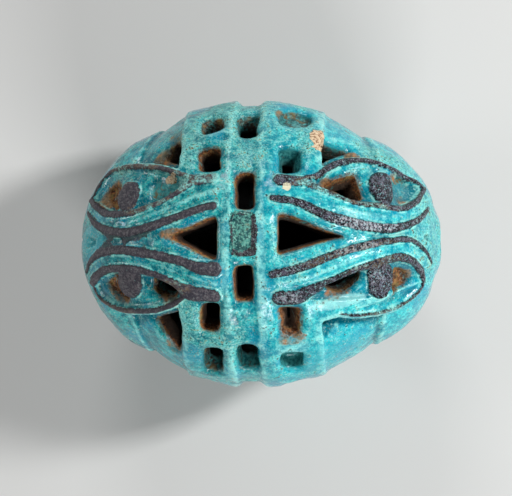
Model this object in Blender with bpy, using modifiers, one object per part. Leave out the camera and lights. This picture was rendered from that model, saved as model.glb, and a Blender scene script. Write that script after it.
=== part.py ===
"""Openwork eye bead of glazed faience: a hollow barrel pierced round four wadjet eyes at each end.

Metres, +Z up. The barrel's long axis runs along X and the bead lies on a small flat
worn across its two middle ribs. The eyes stand in two pairs at each end, brow to
brow: one pair faces up and the other down, with a lowered field between them.
"""

import math

import bmesh
import bpy

MM = 0.001
NODE = "wadjet_eye_bead"
AXIS = "barrel_axis"

# Barrel
LEFT_LENGTH = 19.8 * MM  # middle of the band to the left end face
RIGHT_LENGTH = 21.7 * MM  # middle of the band to the right end face
BODY_RADIUS = 16.4 * MM
END_RADIUS = 2.5 * MM  # outer edge of the flat ring at each end
STRING_HOLE_RADIUS = 1.3 * MM
WALL = 2.6 * MM
END_WALL = 3.6 * MM
BARREL_POWER = 2.2
SHOULDER_POWER = 0.65
SEGMENTS = 36
RINGS = 6
HOLLOW_SEGMENTS = 24
HOLLOW_RINGS = 4

# Band round the middle
LEFT_RIB = (1.4 * MM, 2.9 * MM)
RIGHT_RIB = (1.3 * MM, 3.7 * MM)
RIB_RISE = 0.3 * MM
RIB_EDGE = 0.3 * MM
CHANNEL_DEPTH = 0.5 * MM
FLAT_DEPTH = 0.22 * MM  # resting flat across both ribs

# Eyes: along the barrel as shares of the way from rib to end face, across as arc length
PAIRS = 2
PAIR_ARC = 360 / PAIRS
EYE_START = 0.175
EYE_END = 0.885
LID_POINTS = 6
LID_HALF = 0.45 * MM
LID_RISE = 0.3 * MM
UPPER_LID_SKEW = 1.25  # over 1 moves the highest point toward the end face
UPPER_LID_FULLNESS = 0.62  # under 1 makes the curve fuller than a sine
LOWER_LID_SKEW = 1.15
LOWER_LID_FULLNESS = 0.7
TAIL_HALF = 0.8 * MM
TAIL_START = -0.03  # just inside the rib
BROW_HALF = 0.46 * MM
BROW_RISE = 0.34 * MM
BROW_START = -0.02
BROW_TURN = 0.7  # where the brow comes nearest to the pair's middle line
BROW_END = 0.915
BROW_SWEEP = 1.3  # power of the curve from the band to the turn
BROW_HOOK = 2.2  # power of the curve from the turn to its end
BROW_HOOK_REACH = 0.8  # how far the hook's end stands out, as a share of brow_band
PUPIL_HALF_LENGTH = 1.75 * MM
PUPIL_HALF_HEIGHT = 2.1 * MM
PUPIL_ROWS = (-1.0, -0.7, 0.0, 0.7, 1.0)
PUPIL_BLUNTNESS = 0.4  # width of the oval's cut end, as a share of its full width
PUPIL_RISE = 0.45 * MM
RELIEF_DEPTH = 1.2 * MM  # how far raised shapes reach down into the wall

# Lowered field between neighbouring pairs
FIELD_START = 0.27  # share of the way where the strip of holes ends
FIELD_LID_END = 0.66  # share where the field ends beside the lid
FIELD_TIP_LEFT = 0.47  # share where it ends half way between the pairs
FIELD_TIP_RIGHT = 0.56
FIELD_LID_GAP = 0.7 * MM
FIELD_WAYS = (0.0, 0.3, 0.65)  # rows from the lid toward the half-way line, the crest second
FIELD_ALONG = (0.0, 0.35, 0.7, 1.0)  # points from the strip to the foot of the step
FIELD_EDGE_POWER = 0.8
CREST_DEPTH = 0.35 * MM  # beside the strip
STEP_DEPTH = 1.1 * MM  # at the foot of the step
STEP_RUN = 0.01  # share that the step's face takes
TIP_DEPTH = 0.7 * MM  # at the top of the step
TIP_SLOPE = 0.15  # share over which the surface rises again beyond the step
TIP_CLEARANCE = 0.05 * MM  # how far the field ends above the surface there
VALLEY_DEPTH = 1.9 * MM  # in the corner of lid and strip
VALLEY_FADE = 0.8  # how much of the valley is gone at the step

# Openings
HOLE_SHARE = (0.012, 0.135)  # along the barrel
CORNER_FILL = 0.72  # how far the straight part of a hole's side reaches
HOLE_ANGLES = (34.0, 57.0)
HOLE_HALF_ARC = 6.9
TRIANGLE_HALF_ARC = 8.7
TRIANGLE_TIP = 0.39
POINT_WIDTH = 0.07  # width of a pointed opening at its tip, as a share of its base
CORNER_OPENING_END = 0.5  # share where the opening between lid and field comes to a point
BAND_HOLE_HALF_WIDTH = 1.12 * MM
BAND_HOLE_ANGLES = (18.7, 53.5)
BAND_HOLE_HALF_ARC = 7.8
OUTER_OPENING = (0.275, 0.475)
OUTER_OPENING_HALF = 1.75 * MM
OUTER_OPENING_TIP = 0.18  # width of its narrow end beside the tail, as a share of its full width
OUTER_OPENING_POWER = 0.8
INNER_OPENING = (0.715, 0.825)
INNER_OPENING_HALF = 1.95 * MM
INNER_OPENING_TIP = 0.5
INNER_OPENING_POWER = 1.6
OPENING_ROWS = 4
THROUGH = 2 * WALL
DEEP_RECESS = 1.5 * MM
SHALLOW_RECESS = 0.8 * MM

# One eye: arcs run across the barrel from its pair's middle line. The chord joins the
# eye's two corners, the lids bulge from it, and the brow starts at the band and comes
# nearest to the middle line before it turns round the end. corner is how wide the
# opening between lid and field is at the strip, in degrees.
STANDARD_EYE = {
    "chord_start": 6.45 * MM,
    "chord_end": 5.6 * MM,
    "upper_bulge": 3.1 * MM,
    "lower_bulge": 3.3 * MM,
    "brow_near": 0.7 * MM,
    "brow_band": 3.9 * MM,
    "pupil_share": 0.61,
    "pupil_arc": 5.2 * MM,
    "outer_depth": THROUGH,
    "inner_depth": DEEP_RECESS,
    "corner": 11.0,
}
# Where the four eyes of the pair that faces up differ from it
UPPER_EYES = {
    "left_0a": {"upper_bulge": 3.3 * MM, "brow_near": 0.55 * MM, "brow_band": 3.4 * MM,
                "outer_depth": SHALLOW_RECESS, "corner": 17.0},
    "left_0b": {"chord_end": 6.0 * MM, "lower_bulge": 2.8 * MM, "corner": 19.0},
    "right_0a": {"chord_end": 6.7 * MM, "lower_bulge": 3.0 * MM, "brow_near": 0.9 * MM,
                 "pupil_arc": 5.8 * MM, "inner_depth": SHALLOW_RECESS, "corner": 11.0},
    "right_0b": {"chord_end": 4.3 * MM, "upper_bulge": 2.6 * MM, "lower_bulge": 4.0 * MM,
                 "brow_near": 0.55 * MM, "brow_band": 4.3 * MM, "pupil_arc": 4.8 * MM, "corner": 5.0},
}
SHALLOW_HOLE = "right_0a_hole_57"

COLOUR = (0.12, 0.50, 0.52, 1.0)
ROUGHNESS = 0.28
SMOOTH_BELOW = 32.0  # degrees between faces that are shaded as one round surface


def barrel_radius(distance, length):
    """Outer radius at this distance from the middle of the band."""
    share = min(max(distance / length, 0.0), 1.0)
    fullness = (1.0 - share**BARREL_POWER) ** SHOULDER_POWER
    return END_RADIUS + (BODY_RADIUS - END_RADIUS) * fullness


def hollow_radius(distance, length):
    """Inner radius at this distance from the middle of the band."""
    share = min(max(distance / (length - END_WALL), 0.0), 1.0)
    fullness = (1.0 - share**BARREL_POWER) ** SHOULDER_POWER
    return STRING_HOLE_RADIUS + (BODY_RADIUS - WALL - STRING_HOLE_RADIUS) * fullness


def distance_at(half, share):
    """Distance from the middle of the band for a share of the way from rib to end face."""
    start = half["rib"][1]
    return start + (half["length"] - start) * share


def radius_at(half, share):
    return barrel_radius(distance_at(half, share), half["length"])


def surface_point(half, share, angle, lift=0.0):
    """Point on the barrel at this angle round it from the top, lifted along the radius."""
    radius = radius_at(half, share) + lift
    turn = math.radians(angle)
    x = half["side"] * distance_at(half, share)
    return (x, radius * math.sin(turn), radius * math.cos(turn))


def surface_slope(half, share):
    """Tilt of the surface along the barrel, in radians."""
    near = share - 0.01
    far = share + 0.01
    rise = radius_at(half, far) - radius_at(half, near)
    run = distance_at(half, far) - distance_at(half, near)
    return math.atan2(rise, run)


def arc_angle(half, share, arc):
    return math.degrees(arc / radius_at(half, share))


def new_collection(name, hidden=False):
    collection = bpy.data.collections.new(name)
    collection.hide_render = hidden
    bpy.context.scene.collection.children.link(collection)
    return collection


def add_object(name, mesh, collection):
    """Object on the barrel's own axes: band in the middle at x = 0, long axis at z = 0."""
    obj = bpy.data.objects.new(name, mesh)
    obj.parent = bpy.data.objects[AXIS]
    collection.objects.link(obj)
    if collection.hide_render:
        obj.hide_render = True
        obj.display_type = "WIRE"
    return obj


def half_profile(half):
    """Outer profile from the end face to the rib's inner foot, as (distance, radius)."""
    length = half["length"]
    foot = half["rib"][1]
    top = BODY_RADIUS + RIB_RISE
    points = []
    for i in range(RINGS + 1):
        distance = foot + (length - foot) * math.cos(0.5 * math.pi * i / RINGS)
        points.append((distance, barrel_radius(distance, length)))
    points.append((foot - RIB_EDGE, top))
    points.append((half["rib"][0] + RIB_EDGE, top))
    points.append((half["rib"][0], BODY_RADIUS - CHANNEL_DEPTH))
    return points


def hollow_profile(half):
    """Inner profile from the end wall to the middle, as (distance, radius)."""
    inner_length = half["length"] - END_WALL
    points = []
    for i in range(HOLLOW_RINGS):
        distance = inner_length * math.cos(0.5 * math.pi * i / HOLLOW_RINGS)
        points.append((distance, hollow_radius(distance, half["length"])))
    return points


def turned(name, outline, steps, collection):
    """Solid turned about X from an outline of (x, radius) that starts and ends on the axis."""
    mesh = bpy.data.meshes.new(name)
    edges = [(i, i + 1) for i in range(len(outline) - 1)]
    mesh.from_pydata([(x, 0.0, radius) for x, radius in outline], edges, [])
    solid = add_object(name, mesh, collection)
    screw = solid.modifiers.new("turn", "SCREW")
    screw.axis = "X"
    screw.steps = steps
    screw.render_steps = steps
    screw.use_merge_vertices = True
    screw.merge_threshold = 0.00001
    screw.use_normal_calculate = True
    return solid


def make_barrel(left, right, parts, cutters):
    """Barrel with its ribs and channel, and the hollow with its string hole that is cut out of it."""
    outline = [(-left["length"], 0.0)]
    outline += [(-x, radius) for x, radius in half_profile(left)]
    outline += [(x, radius) for x, radius in reversed(half_profile(right))]
    outline.append((right["length"], 0.0))
    barrel = turned(NODE, outline, SEGMENTS, parts)

    beyond = END_WALL
    hollow = [(-left["length"] - beyond, 0.0), (-left["length"] - beyond, STRING_HOLE_RADIUS)]
    hollow += [(-x, radius) for x, radius in hollow_profile(left)]
    hollow += [(x, radius) for x, radius in reversed(hollow_profile(right))]
    hollow += [(right["length"] + beyond, STRING_HOLE_RADIUS), (right["length"] + beyond, 0.0)]
    turned("hollow", hollow, HOLLOW_SEGMENTS, cutters)
    return barrel


def loft(name, rows, half, low, high, collection):
    """Block wrapped on the barrel: rows of (share, angle), from lift low to lift high.

    A point with a third value has its own lift below, in place of low.
    """
    width = len(rows[0])
    lower = [surface_point(half, p[0], p[1], p[2] if len(p) > 2 else low) for row in rows for p in row]
    upper = [surface_point(half, p[0], p[1], high) for row in rows for p in row]
    count = len(lower)
    faces = []
    for i in range(len(rows) - 1):
        for j in range(width - 1):
            corner = i * width + j
            quad = (corner, corner + 1, corner + width + 1, corner + width)
            faces.append(quad)
            faces.append(tuple(count + k for k in reversed(quad)))
    rim = list(range(width))
    rim += [i * width + width - 1 for i in range(1, len(rows))]
    rim += [(len(rows) - 1) * width + j for j in range(width - 2, -1, -1)]
    rim += [i * width for i in range(len(rows) - 2, 0, -1)]
    for i, a in enumerate(rim):
        b = rim[(i + 1) % len(rim)]
        faces.append((a, b, b + count, a + count))
    mesh = bpy.data.meshes.new(name)
    mesh.from_pydata(lower + upper, [], faces)
    shape = bmesh.new()
    shape.from_mesh(mesh)
    bmesh.ops.triangulate(shape, faces=shape.faces)
    bmesh.ops.recalc_face_normals(shape, faces=shape.faces)
    shape.to_mesh(mesh)
    shape.free()
    return add_object(name, mesh, collection)


def strip(name, half, path, halves, place, rise, collection):
    """Raised line along a path of (share, arc), with half its width given at each point."""
    span = half["length"] - half["rib"][1]
    flat = []
    for share, arc in path:
        flat.append((share * span / math.cos(surface_slope(half, share)), arc))
    rows = []
    for i, (share, arc) in enumerate(path):
        before = flat[max(i - 1, 0)]
        after = flat[min(i + 1, len(flat) - 1)]
        along = after[0] - before[0]
        across = after[1] - before[1]
        reach = halves[i] / math.hypot(along, across)
        step = across * reach * math.cos(surface_slope(half, share)) / span
        row = []
        for sign in (-1.0, 1.0):
            row.append(place(share - sign * step, arc + sign * along * reach))
        rows.append(row)
    return loft(name, rows, half, -RELIEF_DEPTH, rise, collection)


def chord_arc(eye, share):
    """Arc distance of the line through the eye's two corners from the pair's middle line."""
    way = (share - EYE_START) / (EYE_END - EYE_START)
    return eye["chord_start"] + (eye["chord_end"] - eye["chord_start"]) * way


def lid_arc(eye, share, upper):
    """Arc distance of a lid from the pair's middle line."""
    way = min(max((share - EYE_START) / (EYE_END - EYE_START), 0.0), 1.0)
    if upper:
        bulge = math.sin(math.pi * way**UPPER_LID_SKEW) ** UPPER_LID_FULLNESS
        return chord_arc(eye, share) - eye["upper_bulge"] * bulge
    bulge = math.sin(math.pi * way**LOWER_LID_SKEW) ** LOWER_LID_FULLNESS
    return chord_arc(eye, share) + eye["lower_bulge"] * bulge


def brow_arc(eye, share):
    """Arc distance of the brow: wide at the band, close to the middle line, then round the end."""
    near = eye["brow_near"]
    if share < BROW_TURN:
        return near + (eye["brow_band"] - near) * (1.0 - share / BROW_TURN) ** BROW_SWEEP
    way = (share - BROW_TURN) / (BROW_END - BROW_TURN)
    return near + BROW_HOOK_REACH * eye["brow_band"] * way**BROW_HOOK


def outer_opening_half(way):
    """Half width of the opening on the tail's side of the pupil, narrow at the tail."""
    return OUTER_OPENING_HALF * (OUTER_OPENING_TIP + (1.0 - OUTER_OPENING_TIP) * way**OUTER_OPENING_POWER)


def inner_opening_half(way):
    """Half width of the opening on the inner corner's side, narrow at the corner."""
    return INNER_OPENING_HALF * (1.0 - (1.0 - INNER_OPENING_TIP) * way**INNER_OPENING_POWER)


def eased(i, count):
    """Share of the way with closer steps at both ends."""
    return 0.5 - 0.5 * math.cos(math.pi * i / count)


def add_eye(name, eye, half, middle, turn, relief, cutters):
    """One eye: middle is the pair's angle, turn +1 or -1 the side of it."""

    def place(share, arc):
        return (share, middle + turn * arc_angle(half, share, arc))

    shares = [EYE_START + (EYE_END - EYE_START) * eased(i, LID_POINTS) for i in range(LID_POINTS + 1)]
    upper = [(TAIL_START, chord_arc(eye, TAIL_START))]
    upper += [(s, lid_arc(eye, s, True)) for s in shares]
    halves = [TAIL_HALF, TAIL_HALF] + [LID_HALF] * LID_POINTS
    strip(f"{name}_upper_lid", half, upper, halves, place, LID_RISE, relief)
    lower = [(s, lid_arc(eye, s, False)) for s in shares]
    strip(f"{name}_lower_lid", half, lower, [LID_HALF] * len(lower), place, LID_RISE, relief)

    brow = []
    for i in range(LID_POINTS + 1):
        share = BROW_START + (BROW_END - BROW_START) * math.sin(0.5 * math.pi * i / LID_POINTS)
        brow.append((share, brow_arc(eye, share)))
    strip(f"{name}_brow", half, brow, [BROW_HALF] * len(brow), place, BROW_RISE, relief)

    slope = math.cos(surface_slope(half, eye["pupil_share"]))
    reach = PUPIL_HALF_LENGTH * slope / (half["length"] - half["rib"][1])
    rows = []
    for along in PUPIL_ROWS:
        share = eye["pupil_share"] + along * reach
        arc_half = PUPIL_HALF_HEIGHT * max(1.0 - along**2, PUPIL_BLUNTNESS**2) ** 0.5
        rows.append([place(share, eye["pupil_arc"] + across * arc_half) for across in (-1.0, 1.0)])
    loft(f"{name}_pupil", rows, half, -RELIEF_DEPTH, PUPIL_RISE, relief)

    openings = (
        ("outer", OUTER_OPENING, outer_opening_half),
        ("inner", INNER_OPENING, inner_opening_half),
    )
    for opening, ends, half_width in openings:
        rows = []
        for i in range(OPENING_ROWS):
            way = i / (OPENING_ROWS - 1)
            share = ends[0] + (ends[1] - ends[0]) * way
            centre = 0.5 * (lid_arc(eye, share, True) + lid_arc(eye, share, False))
            rows.append([place(share, centre + across * half_width(way)) for across in (-1.0, 1.0)])
        loft(f"{name}_{opening}_opening", rows, half, -eye[f"{opening}_depth"], WALL, cutters)


def field_row(eye, half, way):
    """Points of the field at this share of the way from one lid to the half-way line."""
    row = []
    half_gap = 0.5 * PAIR_ARC
    valley = max(1.0 - way / FIELD_WAYS[1], 0.0)
    edge = FIELD_LID_END + (half["field_tip"] - FIELD_LID_END) * way**FIELD_EDGE_POWER
    for along in FIELD_ALONG:
        share = FIELD_START + (edge - FIELD_START) * along
        depth = CREST_DEPTH + (STEP_DEPTH - CREST_DEPTH) * along
        depth += (VALLEY_DEPTH - depth) * valley * (1.0 - VALLEY_FADE * along)
        row.append((share, depth))
    row.append((edge + STEP_RUN, TIP_DEPTH))
    row.append((edge + TIP_SLOPE, -TIP_CLEARANCE))
    points = []
    for share, depth in row:
        lid = arc_angle(half, share, lid_arc(eye, share, False) + FIELD_LID_GAP)
        points.append((share, (half_gap - lid) * (1.0 - way), -depth))
    return points


def add_field(name, neighbours, half, middle, cutters):
    """Lowered field between two pairs, deepest in the corners of lid and strip."""
    before, after = neighbours
    sides = [(before, way, -1.0) for way in FIELD_WAYS + (1.0,)]
    sides += [(after, way, 1.0) for way in reversed(FIELD_WAYS)]
    rows = []
    for eye, way, turn in sides:
        row = field_row(eye, half, way)
        rows.append([(share, middle + turn * angle, lift) for share, angle, lift in row])
    loft(name, rows, half, 0.0, WALL, cutters)


def add_corner_opening(name, eye, half, middle, turn, cutters):
    """Pointed opening in the corner of lower lid and strip."""
    rows = []
    count = 2
    for i in range(count + 1):
        way = i / count
        share = FIELD_START + (CORNER_OPENING_END - FIELD_START) * way
        lid = arc_angle(half, share, lid_arc(eye, share, False) + FIELD_LID_GAP)
        far = lid + eye["corner"] * (1.0 - (1.0 - POINT_WIDTH) * way)
        rows.append([(share, middle + turn * angle) for angle in (lid, far)])
    loft(name, rows, half, -THROUGH, WALL, cutters)


def add_rounded_hole(name, half, shares, middle, half_arc, cutters, depth=THROUGH):
    """Hole with rounded corners between two shares of the way along the barrel."""
    rows = []
    centre = 0.5 * (shares[0] + shares[1])
    reach = 0.5 * (shares[1] - shares[0])
    for along, fill in ((-1.0, CORNER_FILL), (-CORNER_FILL, 1.0), (CORNER_FILL, 1.0), (1.0, CORNER_FILL)):
        row = []
        for across in (-1.0, 1.0):
            row.append((centre + along * reach, middle + across * fill * half_arc))
        rows.append(row)
    loft(name, rows, half, -depth, WALL, cutters)


def add_front_triangle(name, half, middle, cutters):
    """Pointed opening between the two brows of a pair."""
    rows = []
    count = 2
    for i in range(count + 1):
        way = i / count
        share = HOLE_SHARE[0] + (TRIANGLE_TIP - HOLE_SHARE[0]) * way
        reach = TRIANGLE_HALF_ARC * (1.0 - (1.0 - POINT_WIDTH) * way)
        rows.append([(share, middle + across * reach) for across in (-1.0, 1.0)])
    loft(name, rows, half, -THROUGH, WALL, cutters)


def add_band_hole(name, right, middle, cutters):
    """Hole through the channel's floor between the ribs."""
    span = right["length"] - right["rib"][1]
    centre = -right["rib"][1] / span
    reach = BAND_HOLE_HALF_WIDTH / span
    add_rounded_hole(name, right, (centre - reach, centre + reach), middle, BAND_HOLE_HALF_ARC, cutters)


def add_resting_flat(left, right, cutters):
    """Block under the bead whose top cuts the small flat across both ribs."""
    block = bmesh.new()
    bmesh.ops.create_cube(block, size=1.0)
    length = left["rib"][1] + right["rib"][1] + 2 * RIB_EDGE
    top = BODY_RADIUS + RIB_RISE - FLAT_DEPTH
    bmesh.ops.scale(block, vec=(length, BODY_RADIUS, WALL), verts=block.verts)
    middle = 0.5 * (right["rib"][1] - left["rib"][1])
    bmesh.ops.translate(block, vec=(middle, 0.0, -top - 0.5 * WALL), verts=block.verts)
    mesh = bpy.data.meshes.new("resting_flat")
    block.to_mesh(mesh)
    block.free()
    return add_object("resting_flat", mesh, cutters)


def glazed_faience():
    material = bpy.data.materials.new("glazed_faience")
    material.use_nodes = True
    shader = material.node_tree.nodes["Principled BSDF"]
    shader.inputs["Base Color"].default_value = COLOUR
    shader.inputs["Roughness"].default_value = ROUGHNESS
    shader.inputs["Metallic"].default_value = 0.0
    return material


def boolean(target, name, operation, collection):
    modifier = target.modifiers.new(name, "BOOLEAN")
    modifier.operation = operation
    modifier.solver = "EXACT"
    modifier.operand_type = "COLLECTION"
    modifier.collection = collection


def apply_and_shade(obj):
    """Evaluated shape as the object's own mesh, shaded smooth with its edges kept sharp."""
    graph = bpy.context.evaluated_depsgraph_get()
    mesh = bpy.data.meshes.new_from_object(obj.evaluated_get(graph))
    obj.modifiers.clear()
    obj.data = mesh
    mesh.name = obj.name
    mesh.shade_smooth()
    mesh.set_sharp_from_angle(angle=math.radians(SMOOTH_BELOW))


def main():
    for obj in list(bpy.data.objects):
        bpy.data.objects.remove(obj)
    axis = bpy.data.objects.new(AXIS, None)
    axis.location = (0.5 * (LEFT_LENGTH - RIGHT_LENGTH), 0.0, BODY_RADIUS + RIB_RISE - FLAT_DEPTH)
    bpy.context.scene.collection.objects.link(axis)
    parts = new_collection(NODE)
    relief = new_collection("raised_shapes", hidden=True)
    fields = new_collection("fields", hidden=True)
    cutters = new_collection("cutters", hidden=True)
    left = {"side": -1, "length": LEFT_LENGTH, "rib": LEFT_RIB, "field_tip": FIELD_TIP_LEFT}
    right = {"side": 1, "length": RIGHT_LENGTH, "rib": RIGHT_RIB, "field_tip": FIELD_TIP_RIGHT}
    bead = make_barrel(left, right, parts, cutters)
    bead.data.materials.append(glazed_faience())

    eyes = {}
    for end in ("left", "right"):
        for pair in range(PAIRS):
            for side in ("a", "b"):
                name = f"{end}_{pair}{side}"
                eyes[name] = {**STANDARD_EYE, **UPPER_EYES.get(name, {})}

    for end, half in (("left", left), ("right", right)):
        for pair in range(PAIRS):
            middle = pair * PAIR_ARC
            between = middle + 0.5 * PAIR_ARC
            name = f"{end}_{pair}"
            for side, turn in (("a", 1), ("b", -1)):
                eye_name = f"{name}{side}"
                eye = eyes[eye_name]
                add_eye(eye_name, eye, half, middle, turn, relief, cutters)
                add_corner_opening(f"{eye_name}_corner", eye, half, middle, turn, cutters)
                for angle in HOLE_ANGLES:
                    hole = f"{eye_name}_hole_{angle:.0f}"
                    depth = DEEP_RECESS if hole == SHALLOW_HOLE else THROUGH
                    place = middle + turn * angle
                    add_rounded_hole(hole, half, HOLE_SHARE, place, HOLE_HALF_ARC, cutters, depth)
            add_rounded_hole(f"{name}_side_hole", half, HOLE_SHARE, between, HOLE_HALF_ARC, cutters)
            add_front_triangle(f"{name}_triangle", half, middle, cutters)
            neighbours = (eyes[f"{name}a"], eyes[f"{end}_{(pair + 1) % PAIRS}b"])
            add_field(f"{name}_field", neighbours, half, between, fields)

    for pair in range(PAIRS):
        middle = pair * PAIR_ARC
        for turn in (1, -1):
            for angle in BAND_HOLE_ANGLES:
                add_band_hole(f"band_hole_{pair}_{turn * angle:.0f}", right, middle + turn * angle, cutters)
        add_band_hole(f"band_hole_{pair}_side", right, middle + 0.5 * PAIR_ARC, cutters)

    add_resting_flat(left, right, cutters)
    boolean(bead, "lower", "DIFFERENCE", fields)
    boolean(bead, "raise", "UNION", relief)
    boolean(bead, "pierce", "DIFFERENCE", cutters)
    apply_and_shade(bead)


main()
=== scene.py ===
"""Openwork eye bead: fine surface, glaze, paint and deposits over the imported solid."""

import math

import bpy
import numpy as np
from mathutils import Matrix, Vector


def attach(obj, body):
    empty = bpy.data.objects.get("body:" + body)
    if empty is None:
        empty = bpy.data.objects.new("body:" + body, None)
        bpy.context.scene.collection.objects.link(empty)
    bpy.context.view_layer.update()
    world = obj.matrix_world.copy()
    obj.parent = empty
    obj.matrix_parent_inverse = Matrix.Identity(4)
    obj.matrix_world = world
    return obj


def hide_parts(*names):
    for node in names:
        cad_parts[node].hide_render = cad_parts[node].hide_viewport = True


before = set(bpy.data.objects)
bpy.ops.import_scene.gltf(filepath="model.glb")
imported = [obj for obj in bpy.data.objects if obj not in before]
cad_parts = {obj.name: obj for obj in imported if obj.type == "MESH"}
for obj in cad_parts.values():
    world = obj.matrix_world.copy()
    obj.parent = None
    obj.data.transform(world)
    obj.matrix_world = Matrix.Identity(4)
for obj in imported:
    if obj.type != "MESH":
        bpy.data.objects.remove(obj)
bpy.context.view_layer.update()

# Sizes of the solid, in millimetres. x runs along the barrel from the middle of the band,
# angles run round it from the top, toward +Y.
MM = 0.001
LEFT = 19.8
RIGHT = 21.7
BODY = 16.4
END = 2.5
STRING_HOLE = 1.3
WALL = 2.6
END_WALL = 3.6
BARREL_POWER = 2.2
SHOULDER_POWER = 0.65
LEFT_RIB = (1.4, 2.9)
RIGHT_RIB = (1.3, 3.7)
RIB_RISE = 0.3
FLAT_DEPTH = 0.22
AXIS = (0.5 * (LEFT - RIGHT), 0.0, BODY + RIB_RISE - FLAT_DEPTH)
CELL = 0.22
MOST_TRIANGLES = 190000
SEED = 41

# Worn right end: the profile falls in a straight line from here to the end
WORN_FROM = 20.35
WORN_RADIUS = 6.2
WORN_FALL = 3.7

# Eyes that don't show, as shares of the way from rib to end and arcs in millimetres.
# A lid is how far it bulges, how far to the end it is fullest, and how full it is.
LIDS_FROM = 0.175
LIDS_SPAN = 0.71
LID_ARC = 6.45
LID_ARC_FALL = 0.85
UPPER_LID = (-3.1, 1.25, 0.62)
LOWER_LID = (3.3, 1.15, 0.7)
BROW_ARC = 0.7
BROW_DIP = 0.7
BROW_END = 0.215

# Depth of an opening that goes through the wall
THROUGH = 0.0

# How far the walls of openings lean for each millimetre of depth, how they and the edges are
# rounded, and how far in the field is worked out
LEAN = 0.14
LEAN_UNDER = 0.42
LEAN_UPRIGHT = 0.16
RECESS_LEAN = 0.12
WALL_ROUND = 0.45
RECESS_ROUND = 0.34
INNER_ROUND = 0.3
FIELD_OUTSIDE = 0.9
FIELD_INSIDE = 6.0

# Reach of the averages that crests and hollows are measured against, for the painted highlight on crests and
# the pooled glaze and painted shade in hollows
CREST_REACH = 0.45
HUMP_REACH = 1.3
USUAL_RADIUS = 14.5


# Numbers that vary smoothly

def smooth(value, low, high):
    """0 below low, 1 above high, eased between."""
    share = np.clip((value - low) / (high - low), 0.0, 1.0)
    return share * share * (3.0 - 2.0 * share)


def wrap(angle):
    return (angle + 180.0) % 360.0 - 180.0


def noise(points, size, seed):
    """Smooth noise from -1 to 1 over points of (n, 3), with blobs about this size."""
    place = points / size
    low = np.floor(place).astype(np.int64)
    share = place - low
    share = share * share * (3.0 - 2.0 * share)
    total = np.zeros(len(points))
    for corner in range(8):
        step = np.array([(corner >> k) & 1 for k in range(3)])
        cell = low + step
        code = cell[:, 0] * 73856093 + cell[:, 1] * 19349663 + cell[:, 2] * 83492791 + seed * 2654435
        code = (code ^ (code >> 13)) * 1274126177
        value = ((code ^ (code >> 16)) & 65535) / 32767.5 - 1.0
        weight = np.prod(np.where(step, share, 1.0 - share), axis=1)
        total += value * weight
    return total


def layered(points, size, seed, layers=3):
    total = np.zeros(len(points))
    for layer in range(layers):
        total += noise(points, size / 2**layer, seed + layer) * 0.55**layer
    return total


def soft_max(a, b, reach):
    """Larger of two fields, rounded where they meet."""
    return np.maximum(a, b) + np.maximum(reach - np.abs(a - b), 0.0) ** 2 / (4.0 * reach)


# The barrel's profile and the places round it

def barrel(x):
    length = np.where(x < 0, LEFT, RIGHT)
    share = np.clip(np.abs(x) / length, 0.0, 1.0)
    radius = END + (BODY - END) * (1.0 - share**BARREL_POWER) ** SHOULDER_POWER
    worn = WORN_RADIUS - WORN_FALL * (x - WORN_FROM) / (RIGHT - WORN_FROM)
    return np.where(x > WORN_FROM, np.minimum(radius, worn), radius)


def hollow(x):
    length = np.where(x < 0, LEFT, RIGHT) - END_WALL
    share = np.clip(np.abs(x) / length, 0.0, 1.0)
    return (BODY - WALL) * (1.0 - share**BARREL_POWER) ** SHOULDER_POWER


turn = np.linspace(-0.5 * math.pi, 0.5 * math.pi, 420)
profile_x = np.where(turn < 0, LEFT, RIGHT) * np.sin(turn)
profile_r = barrel(profile_x)
profile_x = np.concatenate([[-LEFT], profile_x, [RIGHT]])
profile_r = np.concatenate([[0.0], profile_r, [0.0]])
steps = np.hypot(np.diff(profile_x), np.diff(profile_r))
profile_u = np.concatenate([[0.0], np.cumsum(steps)])
profile_u -= np.interp(0.0, profile_x[1:-1], profile_u[1:-1])


def u_at(x):
    return np.interp(x, profile_x[1:-1], profile_u[1:-1])


def x_at(u):
    return np.interp(u, profile_u, profile_x)


def r_at(u):
    return np.interp(u, profile_u, profile_r)


def on_barrel(u, angle):
    turned = np.radians(angle)
    radius = r_at(u)
    return np.stack([x_at(u), radius * np.sin(turned), radius * np.cos(turned)], axis=-1)


# Map of the surface: rows run along the profile, columns round the barrel from -90 degrees
STEP_U = 0.12
COLUMNS = 840
map_u = np.arange(profile_u[0], profile_u[-1] + STEP_U, STEP_U)
map_angle = -90.0 + 360.0 * np.arange(COLUMNS) / COLUMNS
grid_u = np.repeat(map_u, COLUMNS)
grid_angle = np.tile(map_angle, len(map_u))
grid_point = on_barrel(grid_u, grid_angle)
grid_x = grid_point[:, 0]
FAR = 9.0


def new_map(value=0.0):
    return np.full(len(grid_u), float(value))


def read_map(values, u, angle):
    """Value of a map at these places, evened between its points."""
    table = values.reshape(len(map_u), COLUMNS)
    row = np.clip((u - map_u[0]) / STEP_U, 0.0, len(map_u) - 1.001)
    column = ((angle + 90.0) % 360.0) / 360.0 * COLUMNS
    i = row.astype(np.int64)
    j = column.astype(np.int64) % COLUMNS
    k = (j + 1) % COLUMNS
    a = row - i
    b = column - np.floor(column)
    low = table[i, j] * (1.0 - b) + table[i, k] * b
    high = table[i + 1, j] * (1.0 - b) + table[i + 1, k] * b
    return low * (1.0 - a) + high * a


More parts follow.
